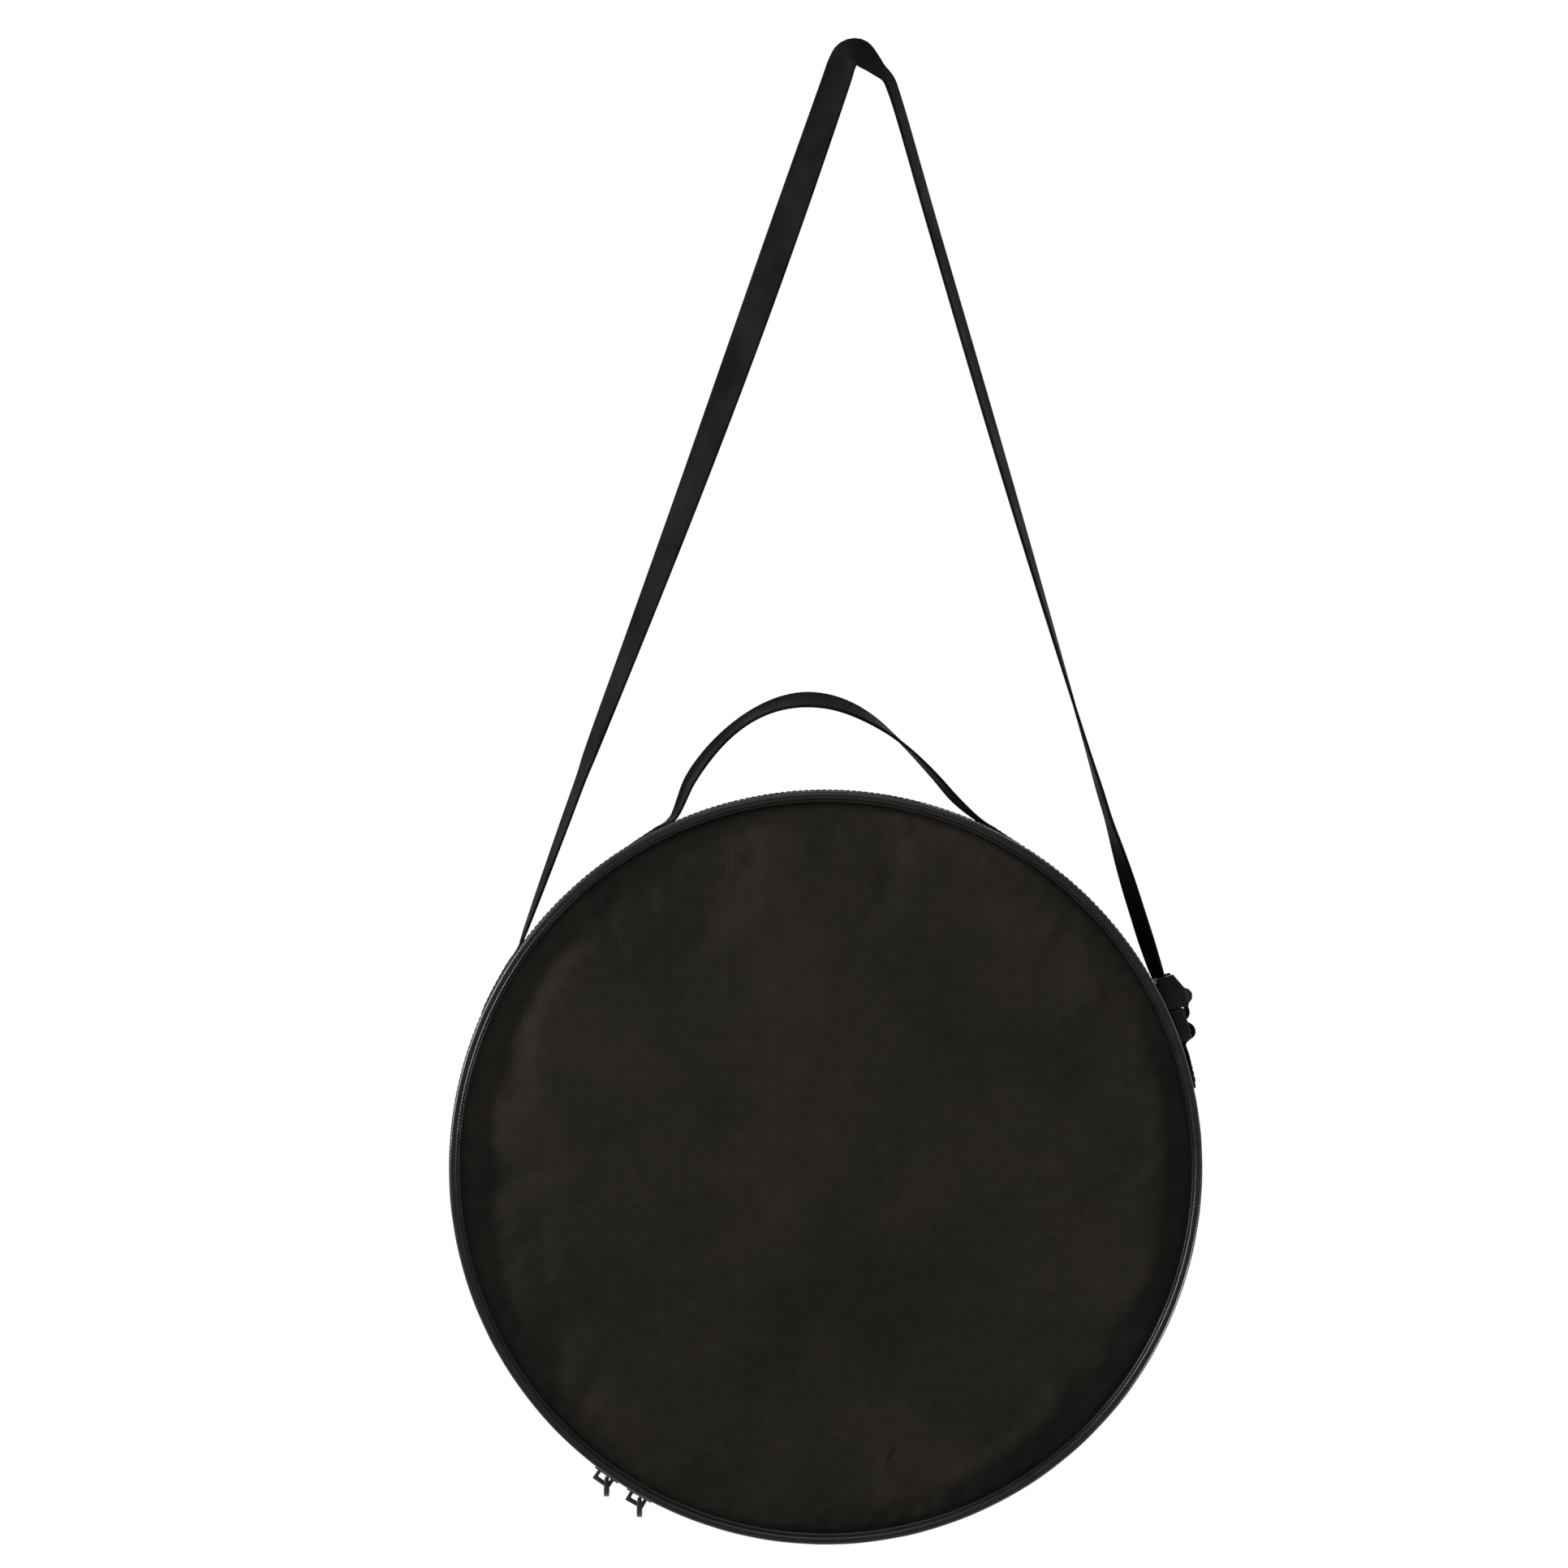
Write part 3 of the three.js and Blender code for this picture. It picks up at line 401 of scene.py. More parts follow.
def turned(section, steps, ends=None):
    """Spin a closed section of (radius, y) points about the axis, fully or between two angles."""
    bm = bmesh.new()
    first, last = ends if ends else (0.0, 2 * pi)
    verts = [bm.verts.new(around(radius, first, y)) for radius, y in section]
    edges = [bm.edges.new((verts[i - 1], verts[i])) for i in range(len(verts))]
    faces = [bm.faces.new(verts)] if ends else []
    spun(bm, verts + edges + faces, first - last, steps, use_merge=not ends)
    bmesh.ops.remove_doubles(bm, verts=bm.verts, dist=1e-6)
    bmesh.ops.recalc_face_normals(bm, faces=bm.faces)
    return bm


def layer_section(outer, thickness, low, high, count):
    """A layer of the wall, given the radius of its outer face by depth: out along it and back."""
    edge = thickness / 4
    depths = [low + edge + (high - low - 2 * edge) * i / count for i in range(count + 1)]
    over = [(outer(y), y) for y in depths]
    under = [(outer(y) - thickness, y) for y in reversed(depths)]
    ends = [[(outer(y) - edge, y), (outer(y) - thickness + edge, y)] for y in (low, high)]
    return [ends[0][0], *over, *ends[1], *under, ends[0][1]]


print("lathe ready")

# %% [markdown]
# ## Front and back covers
# Each cover is a round of cloth over foam, sewn in at its edge, so it crowns in the middle and
# dips into the seam. A lathe would leave a pole of thin triangles in the middle. Here a square
# grid is drawn out into circles instead, so that the cells stay even and cloth can be simulated
# on them, and the rings are packed closer by the seam, where the cover bends most.

# %% Round cover blank
COVER_RINGS = 56
SEAM_RINGS = 6
SEAM_DIP = 6 * MM
PADS = {-1: (7 * MM, 40 * MM), 1: (4.8 * MM, 165 * MM)}  # crown, radius of its level middle


def ring_radius(ring):
    """Even rings over the panel, then close ones where the edge dips into the seam."""
    inner = COVER_RINGS - SEAM_RINGS
    if ring <= inner:
        return (WALL - SEAM_DIP) * ring / inner
    return WALL - SEAM_DIP + (SEAM_DIP + 0.5 * MM) * (ring - inner) / SEAM_RINGS


def round_blank():
    """A disc of even quads that faces the front, at the depth of the pouch's middle."""
    bm = bmesh.new()
    bmesh.ops.create_grid(bm, x_segments=2 * COVER_RINGS, y_segments=2 * COVER_RINGS, size=1.0)
    for vert in bm.verts:
        x, y = vert.co.x, vert.co.y
        ring = max(abs(x), abs(y))
        if abs(x) >= abs(y):
            angle = pi / 4 * (y / x if x else 0) + (pi if x < 0 else 0)
        else:
            angle = pi / 2 - pi / 4 * (x / y) + (pi if y < 0 else 0)
        vert.co = around(ring_radius(ring * COVER_RINGS), angle, 0)
    return bm


def swell(radius, crown, flat):
    """How far a panel stands out at a radius: level in the middle, falling away to the seam."""
    if radius <= flat:
        return crown
    return crown * (1 + cos(pi * (radius - flat) / (WALL - flat))) / 2


blank = round_blank()
rim_edges = sum(edge.is_boundary for edge in blank.edges)
print("cover blank:", len(blank.faces), "faces, rim of", rim_edges, "edges")
blank.free()

# %% [markdown]
# ## Letting the padding swell
# A sewn pad takes its shape from the foam that pushes at it. Blender's cloth does the same: its
# edge is held, a slight pressure pushes from inside, and the cloth is cut a little larger than
# the frame that holds it, so that it eases into shallow waves. Each point may move only so far,
# which keeps the pad its real size. The front is swelled this way, from half its crown. The
# back is flatter, so its crown is given directly.

# %% Cloth swell
SWELL_FRAMES = 20


def swollen(bm, held, pressure, spare, cap):
    """Swell a cover by cloth simulation; points past the held radius stay where they are."""
    mesh = bpy.data.meshes.new("swelling")
    bm.to_mesh(mesh)
    pad = in_scene("swelling", mesh)
    bm.verts.ensure_lookup_table()
    group = pad.vertex_groups.new(name="sewn")
    flat = [hypot(vert.co.x - CENTRE.x, vert.co.z - CENTRE.z) for vert in bm.verts]
    group.add([i for i, radius in enumerate(flat) if radius > held], 1.0, "REPLACE")
    cloth = pad.modifiers.new("cloth", "CLOTH")
    cloth.settings.vertex_group_mass = "sewn"
    cloth.settings.use_pressure = True
    cloth.settings.uniform_pressure_force = pressure
    cloth.settings.shrink_min = -spare
    cloth.settings.effector_weights.gravity = 0
    cloth.point_cache.frame_end = SWELL_FRAMES
    for moment in range(1, SWELL_FRAMES + 1):
        bpy.context.scene.frame_set(moment)
    moved = pad.evaluated_get(bpy.context.evaluated_depsgraph_get()).to_mesh()
    longest = 0.0
    for vert, after in zip(bm.verts, moved.vertices):
        move = after.co - vert.co
        longest = max(longest, move.length)
        vert.co += move * min(1.0, cap / move.length) if move.length else move
    bpy.context.scene.frame_set(1)
    bpy.data.objects.remove(pad)
    print(f"swelled by up to {longest / MM:.1f} mm, held to {cap / MM:.1f} mm")


# %% Front and back covers
COVER_WAVES = ((75 * MM, 0.9), (32 * MM, 0.35))  # length, and height in mm
COVER_PUCKERS = 83
GATHER = 18 * MM  # the seam's puckers reach this far in
COVER_STARTS = (0.5, 1.0)  # the share of its crown that each cover starts from


def make_cover(side, end, body, start):
    """One outer panel: a crowned round of cloth whose edge is gathered into the seam."""
    bm = round_blank()
    crown, flat = PADS[side]
    lift = crown * start
    for vert in bm.verts:
        place, radius, angle, _ = polar(vert)
        into_seam = min(1.0, max(0.0, (radius - WALL + SEAM_DIP) / SEAM_DIP))
        wave = sum(noise.noise(place / length) * height for length, height in COVER_WAVES)
        gather = max(0.0, 1 - (WALL - radius) / GATHER)
        ripple = cos(angle * COVER_PUCKERS + 3 * noise.noise(place / (40 * MM)))
        pucker = ripple * gather * (1 - into_seam)
        depth = swell(radius, lift, flat) + (wave * (1 - gather) + 0.3 * pucker) * MM
        vert.co.y = side * (PANEL_Y + depth - 1.5 * MM * into_seam**2)
    if side > 0:
        bmesh.ops.reverse_faces(bm, faces=bm.faces)
    if start < 1:
        swollen(bm, held=WALL - SEAM_DIP, pressure=0.8, spare=0.004, cap=3.4 * MM)
    piece = keep(
        bm, f"{end}_cover", woven_polyester, body, [f"{end}_panel"], flat_front
    )
    wall = piece.modifiers.new("cloth thickness", "SOLIDIFY")
    wall.thickness = 0.9 * MM
    wall.offset = -1


for half, start in zip(HALVES, COVER_STARTS):
    make_cover(*half, start)

# %% [markdown]
# ## Lining
# Inside, thin taffeta covers the foam on both panels and round the band. Each lining with its
# foam is one soft slab. On a panel it is drawn from the same round blank as the cover, a little
# smaller, with a low crown that nests in the cover. Round the band it is a closed section, turned.

# %% Linings over their foam
BINDING = 3 * MM
BINDING_RADIUS = WALL - 1.6 * MM - 2.5 * MM - 0.8 * MM - 3 * SEAM  # under cloth, foam and lining
LAYER_RADIUS = BINDING_RADIUS - BINDING - SEAM
PANEL_FOAM = (4.0, 3.3)  # in mm, front and back
BAND_PAD_STEPS = 150


def make_panel_lining(side, end, body, foam):
    """The padded lining of a panel, as a lens whose outer face lies just under the cover."""
    bm = round_blank()
    crown, flat = PADS[side]
    scale = LAYER_RADIUS / WALL
    for vert in bm.verts:
        place, radius, *_ = polar(vert)
        radius *= scale
        edge = max(0.0, 1 - (LAYER_RADIUS - radius) / (7 * MM))
        dimple = 0.5 * MM * noise.noise(place / (38 * MM))
        under = (1.5 + foam * (1 - edge**2 * 0.7) + 0.8) * MM
        depth = swell(radius, crown, flat) - under + dimple * (1 - edge)
        vert.co = CENTRE + Vector((place.x * scale, side * (PANEL_Y + depth), place.z * scale))
    if side < 0:
        bmesh.ops.reverse_faces(bm, faces=bm.faces)
    nodes = [f"{end}_lining", f"{end}_foam"]
    piece = keep(bm, f"{end}_lining_pad", taffeta, body, nodes, flat_front)
    slab = piece.modifiers.new("foam thickness", "SOLIDIFY")
    slab.thickness = (foam * 0.6) * MM
    slab.offset = -1


for half, foam in zip(HALVES, PANEL_FOAM):
    make_panel_lining(*half, foam)
under_band = layer_section(
    lambda y: wall_at(y) - 1.6 * MM, 3.4 * MM, ZIP_EDGE[1] + 1 * MM, BAND_END - 1 * MM, 16
)
under_nodes = ["band_lining", "band_foam"]
band_slab = turned(under_band, BAND_PAD_STEPS, ZIP_ENDS)
band_pad = keep(band_slab, "band_lining_pad", taffeta, "pouch", under_nodes, unrolled)

# %% [markdown]
# ## Piping and seam binding
# The piped edge is a cord in its strip of cloth, sewn between panel and band. Its section is a
# small circle, turned about the pouch's axis, and dents along it show where the strip was
# stretched. Inside, a folded tape binds the raw edges of the same seam.

# %% Piping rings and seam bindings
PIPING_STEPS = 288
BINDING_STEPS = 144
MOUTH = 24  # degrees on either side of where the strip leaves the cord


def make_piping(side, end, body):
    """A ring of covered cord, with the strip's two edges running on as a flange into the seam."""
    middle = (RIM - BEAD / 2, side * (HALF_DEPTH - BEAD / 2))
    seam = (WALL - 2 * MM, side * (BAND_END + 0.15 * MM))
    toward = atan2(seam[1] - middle[1], seam[0] - middle[0])
    section = []
    for i in range(11):
        turn = toward + radians(MOUTH) + radians(360 - 2 * MOUTH) * i / 10
        reach = (BEAD / 2 * cos(turn), BEAD / 2 * sin(turn))
        section.append((middle[0] + reach[0], middle[1] + reach[1]))
    half = 0.25 * MM
    section += [(seam[0], seam[1] + half * side), (seam[0], seam[1] - half * side)][:: -side]
    bm = turned(section, PIPING_STEPS)
    for vert in bm.verts:
        place, *_, out = polar(vert)
        core = CENTRE + out * middle[0] + Vector((0, middle[1], 0))
        vert.co = core + (vert.co - core) * (0.97 + 0.05 * noise.noise(place / (13 * MM)))
    keep(bm, f"{end}_piping_cover", bias_strip, body, [f"{end}_piping"], unrolled)


def make_binding(side, end, body):
    near, far = sorted((side * BAND_END, side * (BAND_END - BINDING)))
    bm = turned(layer_section(lambda y: BINDING_RADIUS, BINDING, near, far, 2), BINDING_STEPS)
    keep(bm, f"{end}_binding_tape", grosgrain, body, [f"{end}_seam_binding"], unrolled)


def for_both_halves(*makers):
    """Make the front piece and then the back piece, with each maker in turn."""
    for make in makers:
        for half in HALVES:
            make(*half)


for_both_halves(make_piping, make_binding)

# %% [markdown]
# ## Bands and zip tapes
# The side wall is a narrow front band, the zip, and a wide back band. A band's edge by the zip
# is folded under and stitched, so a thicker lip lies over the tape. Both are flat sections,
# turned between the zip's two ends, with slight puckers where the seams draw the cloth in.

# %% Bands with folded lips, and zip tapes
LIP = 5 * MM
LIP_OVER = 1.5 * MM
CHAIN_HALF = 2.9 * MM
BAND_PUCKERS = 97
BAND_ROWS = 14
BAND_STEPS = 300
TAPE_STEPS = 200


def make_band(side, end, body):
    """A band from its sewn edge to its folded lip, which lies over the zip tape."""
    sewn = side * BAND_END
    toward = -side
    folded = ZIP_EDGE[side] + toward * LIP_OVER
    start = folded - toward * LIP
    depths = [sewn + (start - sewn) * i / BAND_ROWS for i in range(BAND_ROWS + 1)]
    flat = [(wall_at(y), y) for y in depths]
    rise = [start + toward * 0.6 * MM, start + toward * 2.5 * MM]
    lip = [(wall_at(y) + 0.5 * MM, y) for y in rise]
    nose = [(CREST + 0.6 * MM, folded - toward * 0.5 * MM), (CREST + 0.25 * MM, folded)]
    under = [(CREST + 0.05 * MM, folded - toward * 0.3 * MM), (wall_at(start) - 0.1 * MM, start)]
    inside = [(radius - 1.1 * MM, y) for radius, y in reversed(flat)]
    bm = turned(flat + lip + nose + under + inside, BAND_STEPS, ZIP_ENDS)
    for vert in bm.verts:
        place, _, angle, out = polar(vert)
        by_seam = max(0.0, 1 - abs(place.y - sewn) / (9 * MM))
        by_zip = max(0.0, 1 - abs(place.y - folded) / (7 * MM))
        ripple = cos(angle * BAND_PUCKERS + 4 * noise.noise(place / (50 * MM)))
        wave = 0.3 * noise.noise(place / (45 * MM)) * (1 - by_seam) * (1 - by_zip)
        vert.co += out * (wave - 0.16 * ripple * (by_seam + by_zip)) * MM
    keep(bm, f"{end}_band_cloth", woven_polyester, body, [f"{end}_band"], unrolled)


def make_tape(side, end, body):
    reach = sorted((ZIP_EDGE[side] + side * 1 * MM, ZIP_MIDDLE + side * CHAIN_HALF))
    section = layer_section(lambda y: CREST - 0.2 * MM, 0.9 * MM, *reach, 4)
    bm = turned(section, TAPE_STEPS, ZIP_ENDS)
    keep(bm, f"{end}_zip_tape_cloth", zip_twill, body, [f"{end}_zip_tape"], unrolled)


for_both_halves(make_band, make_tape)

# %% [markdown]
# ## Zip teeth
# A coil zip's teeth are loops of nylon sewn along each tape. One tooth is modelled, a bar with a
# thicker head, and the spin operator repeats it round the wall with its duplicate option. The
# second row is set half a pitch on, so that the two rows interleave. Real teeth are finer: these
# are drawn 1.5 mm apart, so that they show.

# %% Two rows of teeth
TOOTH_PITCH = 1.5 * MM
TOOTH_TALL = 2.3 * MM
TOOTH_THICK = 0.75 * MM
HEAD_SCALE = 1.35
FIRST_TOOTH = 1.0 * MM


def make_teeth(side, end, body):
    """A row of teeth: one is shaped from a cube, and spin repeats it round the wall."""
    bm = bmesh.new()
    reach = ZIP_MIDDLE + side * 0.3 * MM
    root = ZIP_MIDDLE + side * CHAIN_HALF
    size = Matrix.Diagonal((TOOTH_TALL, abs(root - reach), TOOTH_THICK, 1))
    bmesh.ops.create_cube(bm, size=1.0, matrix=size)
    heads = [vert for vert in bm.verts if vert.co.y * side < 0]
    bmesh.ops.scale(bm, vec=(1.0, 1.0, HEAD_SCALE), verts=heads)
    bmesh.ops.bevel(
        bm, geom=bm.edges[:], offset=0.2 * MM, segments=1, profile=0.5, affect="EDGES", material=-1
    )
    offset = FIRST_TOOTH + (TOOTH_PITCH / 2 if side > 0 else 0)
    first = ZIP_ENDS[0] + offset / CREST
    count = int((ZIP_ENDS[1] - first) * CREST / TOOTH_PITCH)
    seat = Matrix.Translation(around(CREST - 0.6 * MM, first, (reach + root) / 2))
    bmesh.ops.transform(bm, verts=bm.verts, matrix=seat @ Matrix.Rotation(-first, 4, "Y"))
    bmesh.ops.recalc_face_normals(bm, faces=bm.faces)
    tooth = bm.verts[:] + bm.edges[:] + bm.faces[:]
    spun(bm, tooth, -count * TOOTH_PITCH / CREST, count, use_duplicate=True)
    keep(bm, f"{end}_zip_teeth", nylon_coil, body, [f"{end}_zip_coil"], smooth=False)


for_both_halves(make_teeth)

# %% [markdown]
# ## Base gusset
# Between the zip's ends a plain piece of cloth joins lid and body, and works as the hinge. It
# stands a little proud of the bands, because its ends lie over the ends of the zip. It is one
# piece, so it bends between the two bodies instead of riding on one.

# %% Hinge cloth at the base
GUSSET_ENDS = (ZIP_ENDS[1], ZIP_ENDS[0] + 2 * pi)
GUSSET_RISE = 1.6 * MM
GUSSET_PUCKERS = 90
HINGE_FROM = (0, ZIP_MIDDLE - 7 * MM, 0)
HINGE_TO = (0, ZIP_MIDDLE + 7 * MM, 0)


def make_gusset():
    section = layer_section(lambda y: wall_at(y) + GUSSET_RISE, 2.2 * MM, -BAND_END, BAND_END, 44)
    bm = turned(section, 64, GUSSET_ENDS)
    for vert in bm.verts:
        place, _, angle, out = polar(vert)
        by_edge = max(0.0, 1 - (BAND_END - abs(place.y)) / (9 * MM))
        ripple = 0.25 * cos(angle * GUSSET_PUCKERS) * by_edge
        vert.co += out * (0.35 * noise.noise(place / (35 * MM)) * (1 - by_edge) - ripple) * MM
    nodes = ["base_gusset", "base_gusset_flap"]
    piece = keep(bm, "base_gusset_cloth", woven_polyester, None, nodes, unrolled)
    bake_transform(piece, "lid", "pouch", start=HINGE_FROM, end=HINGE_TO)


make_gusset()

# %% [markdown]
# ## Drawing a section along a line
# Webbing is one flat section drawn along its run. The line is a smooth curve through a few
# chosen points, each with the degrees that the webbing is rolled there. The section's edges are
# extruded step by step and moved to the next place on the line, as a forming die would do it.
# Every point remembers how far along and across it lies, for the UV map.

# %% Line and sweep helpers
KNOT_SPANS = (((0, 1), (1, 2), (2, 3)), ((0, 2), (1, 3)), ((1, 2),))  # of three rounds of blending


def smooth_line(points, step):
    """A centripetal Catmull-Rom curve through (x, y, z, roll) points, sampled about every step."""
    chain = [2 * points[0] - points[1], *points, 2 * points[-1] - points[-2]]
    line = []
    for four in zip(chain, chain[1:], chain[2:], chain[3:]):
        knots = [0.0]
        for near, far in zip(four, four[1:]):
            knots.append(knots[-1] + max(1e-5, (far - near).xyz.length) ** 0.5)
        count = max(1, round((four[2] - four[1]).xyz.length / step))
        for i in range(count):
            t = knots[1] + (knots[2] - knots[1]) * i / count
            row = four
            for spans in KNOT_SPANS:
                shares = [(t - knots[low]) / (knots[high] - knots[low]) for low, high in spans]
                row = [near.lerp(far, share) for near, far, share in zip(row, row[1:], shares)]
            line.append(row[0])
    return [*line, points[-1]]


def frames_along(line):
    """A frame at each point of a line: its width lies along Y, rolled about the run."""
    frames = []
    for i, here in enumerate(line):
        run = (line[min(i + 1, len(line) - 1)] - line[max(i - 1, 0)]).xyz.normalized()
        width = Matrix.Rotation(radians(here.w), 3, run) @ Vector((0, 1, 0))
        face = run.cross(width).normalized()
        place = Matrix((face.cross(run), face, run)).transposed().to_4x4()
        place.translation = here.xyz
        frames.append(place)
    return frames


def sweep(section, frames):
    """Extrude a closed section of (across, out) points through the frames, both ends filled."""
    bm = bmesh.new()
    run = bm.verts.layers.float.new("run")
    across = bm.verts.layers.float.new("across")
    verts = []
    for x, y in section:
        verts.append(bm.verts.new(frames[0] @ Vector((x, y, 0))))
        verts[-1][across] = x
    edges = [bm.edges.new((verts[i - 1], verts[i])) for i in range(len(verts))]
    bm.faces.new(verts)
    gone = 0.0
    for before, after in zip(frames, frames[1:]):
        made = bmesh.ops.extrude_edge_only(bm, edges=edges)["geom"]
        verts = [item for item in made if isinstance(item, bmesh.types.BMVert)]
        fresh = set(verts)
        made_edges = [item for item in made if isinstance(item, bmesh.types.BMEdge)]
        edges = [edge for edge in made_edges if fresh.issuperset(edge.verts)]
        bmesh.ops.transform(bm, matrix=after @ before.inverted(), verts=verts)
        gone += (after.translation - before.translation).length
        for vert in verts:
            vert[run] = gone
    bmesh.ops.contextual_create(bm, geom=edges)
    bmesh.ops.recalc_face_normals(bm, faces=bm.faces)
    return bm


print("sweep ready")

# %% [markdown]
# ## Shoulder strap
# The strap is sewn to the back band on the left, runs straight up to the hook, turns over it
# and comes down on the right to a ring. On the way up it is rolled to show its face, and on the
# way down it is nearly edge on, with a slight twist back above the adjuster. Its own weight bows
# both strands in a little. It is one length of webbing, so it is one piece, and it bends between
# strap and pouch at the height where the pouch swings.

# %% Webbing helper and the strap's strands
HALF_WIDE = WEB_WIDE / 2
HALF_THICK = WEB_THICK / 2


def webbing_section():
    """Half round edges, each with a raised selvedge, and a flat middle."""
    quarter = [(1.0, 0.3), (0.975, 0.75), (0.93, 0.98), (0.87, 1.0), (0.8, 0.9), (0.3, 0.9)]
    top = [(x * HALF_WIDE, y * HALF_THICK) for x, y in quarter]
    top += [(-x, y) for x, y in reversed(top)]
    return top + [(-x, -y) for x, y in top]


def along_webbing(bm):
    """A UV rule: the way along the webbing, and across it."""
    run = bm.verts.layers.float["run"]
    across = bm.verts.layers.float["across"]
    return lambda vert: (vert[run], vert[across])


def make_webbing(name, points, nodes, body=None, step=1.5 * MM):
    bm = sweep(webbing_section(), frames_along(smooth_line(points, step)))
    return keep(bm, name, chevron_webbing, body, nodes, along_webbing(bm), "webbing")


def at(point, roll=0):
    """A point of a line, with the degrees that the webbing is rolled there."""
    return Vector((*point, roll))


def strand(shoulder, seat):
    """The straight run from its seat by the wall to a shoulder by the hook."""
    return (shoulder - seat).normalized(), (shoulder - seat).length


LEFT_ANGLE = radians(145.5)
LEFT_TOUCH = around(TOUCH, LEFT_ANGLE, 0)
RIGHT_TOUCH = around(TOUCH + 1.2 * MM, radians(20), 0)
LEFT_UP, LEFT_LONG = strand(Vector((-11, 0, -16)) * MM, LEFT_TOUCH)
RIGHT_UP, RIGHT_LONG = strand(Vector((20, 0, -21.5)) * MM, RIGHT_TOUCH)
LEFT_IN = Vector((LEFT_UP.z, 0, -LEFT_UP.x))
RIGHT_OUT = Vector((RIGHT_UP.z, 0, -RIGHT_UP.x))


def by_right(u, v):
    """A place by the right strand: up along it, and outwards, in metres."""
    return RIGHT_TOUCH + RIGHT_UP * u + RIGHT_OUT * v


def bent_by_right(u, v, reach, turns):
    """Points of a bend round a bar by the right strand."""
    return [at(by_right(u + reach * sin(turn), v + reach * cos(turn))) for turn in turns]


print(f"strands {LEFT_LONG / MM:.0f} and {RIGHT_LONG / MM:.0f} mm long")

# %% Shoulder webbing
SEWN = 38 * MM
SEWN_STEPS = 9
FLEX_UP = 10.5 * MM
SAG = 2 * MM  # a strand hangs this far inside the straight line
RING_V = 4.4 * MM * sqrt(0.5) + 0.4 * MM + HALF_THICK
RING_U = 10.8 * MM
RING_PLAY = 0.4 * MM
ADJUSTER_TOP = 32 * MM  # the strand's twist ends here
HOOK_TURN = (  # x and z in mm, and roll
    (-7.6, -6, 38),
    (-4.3, -0.7, 39),
    (0.8, 0, 40),
    (6.2, -4.3, 33),
    (11.6, -9.4, 23),
    (17, -14.5, 17),
)
FOLD_ROLL = 13
LEFT_ROLLS = (16, 25, 33, 39.5, 42, 39)
RIGHT_ROLLS = (15, 14, 14, 12, 7, 0)
LOWER_ROLLS = (-3, -4, -10, -14, -15, -15)
LAST_ROLL = -10


def left_points():
    """From the sewn end round the wall, over the fold and up to the hook."""
    points = []
    for i in range(SEWN_STEPS):
        share = 1 - i / SEWN_STEPS
        points.append(at(around(TOUCH, LEFT_ANGLE + SEWN / TOUCH * share, 0)))
    points.append(at(LEFT_TOUCH))
    fold = (SWING_Z - LEFT_TOUCH.z) / LEFT_UP.z
    for share in (0.05, 0.25, 0.5, 0.75, 1):
        points.append(at(LEFT_TOUCH + LEFT_UP * fold * share, FOLD_ROLL * sqrt(share)))
    start = (SWING_Z + FLEX_UP - LEFT_TOUCH.z) / LEFT_UP.z
    for i, roll in enumerate(LEFT_ROLLS):
        share = i / (len(LEFT_ROLLS) - 1)
        sag = LEFT_IN * SAG * sin(pi * share)
        points.append(at(LEFT_TOUCH + LEFT_UP * (start + (LEFT_LONG - start) * share) + sag, roll))
    return points


def right_points():
    """Down from the hook, through the adjuster, round the ring and back up."""
    points = []
    end = (SWING_Z + FLEX_UP - RIGHT_TOUCH.z) / RIGHT_UP.z
    for i, roll in enumerate(RIGHT_ROLLS):
        share = i / (len(RIGHT_ROLLS) - 1)
        sag = -SAG * sin(pi / 2 * share)
        points.append(at(by_right(RIGHT_LONG + (end - RIGHT_LONG) * share, sag), roll))
    for i, roll in enumerate(LOWER_ROLLS):
        share = (i + 1) / (len(LOWER_ROLLS) + 1)
        sag = -SAG * (1 - share**3 / 2)
        points.append(at(by_right(end + (ADJUSTER_TOP - end) * share, sag), roll))
    points.append(at(by_right(ADJUSTER_TOP - 1 * MM, -SAG * 0.4), LAST_ROLL))
    points.append(at(by_right((ADJUSTER_TOP + RING_U) / 2, 0)))
    round_ring = [pi + pi * i / 8 for i in range(9)]
    points += bent_by_right(RING_U, RING_V, RING_V, round_ring)
    points.append(at(by_right(RING_U + RING_PLAY, 2 * RING_V)))
    return points


over_hook = [at(Vector((x, 0, z)) * MM, roll) for x, z, roll in HOOK_TURN]
shoulder_webbing = make_webbing(
    "shoulder_webbing",
    [*left_points(), *over_hook, *right_points()],
    ["shoulder_strap", "strap_left_end", "strap_right_end"],
)
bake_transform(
    shoulder_webbing,
    "strap",
    "pouch",
    start=(0, 0, SWING_Z + 18 * MM),
    end=(0, 0, SWING_Z - 14 * MM),
)

# %% [markdown]
# ## Adjuster, ring and the strap's return
# On the right the strap goes through a ring and back up to a three-bar adjuster, where its end
# is sewn round the middle bar. That return hangs slack and bows outwards. It bends between
# pouch and adjuster, so that it grows longer as the adjuster slides up the strap. A folded tab
# holds the ring to the wall.

# %% Return webbing and ring tab
BAR_REACH = RING_V - HALF_THICK
ADJUSTER_IN = HALF_THICK + RING_PLAY + 2 * MM
CORNER_IN = by_right(0, -ADJUSTER_IN) - CENTRE
CORNER_UP = CORNER_IN.dot(RIGHT_UP)
WALL_CLEAR = (CREST + 2 * SEAM) ** 2
ADJUSTER_LOW = sqrt(CORNER_UP**2 - CORNER_IN.length_squared + WALL_CLEAR) - CORNER_UP
MIDDLE_U = ADJUSTER_LOW + 8.1 * MM
MIDDLE_REACH = hypot(1.7 * MM, 1 * MM) + RING_PLAY
MIDDLE_V = HALF_THICK + RING_PLAY + WEB_THICK + MIDDLE_REACH
WRAP = MIDDLE_REACH + HALF_THICK
RETURN_BOW = 2.6 * MM
RETURN_ROLL = -14
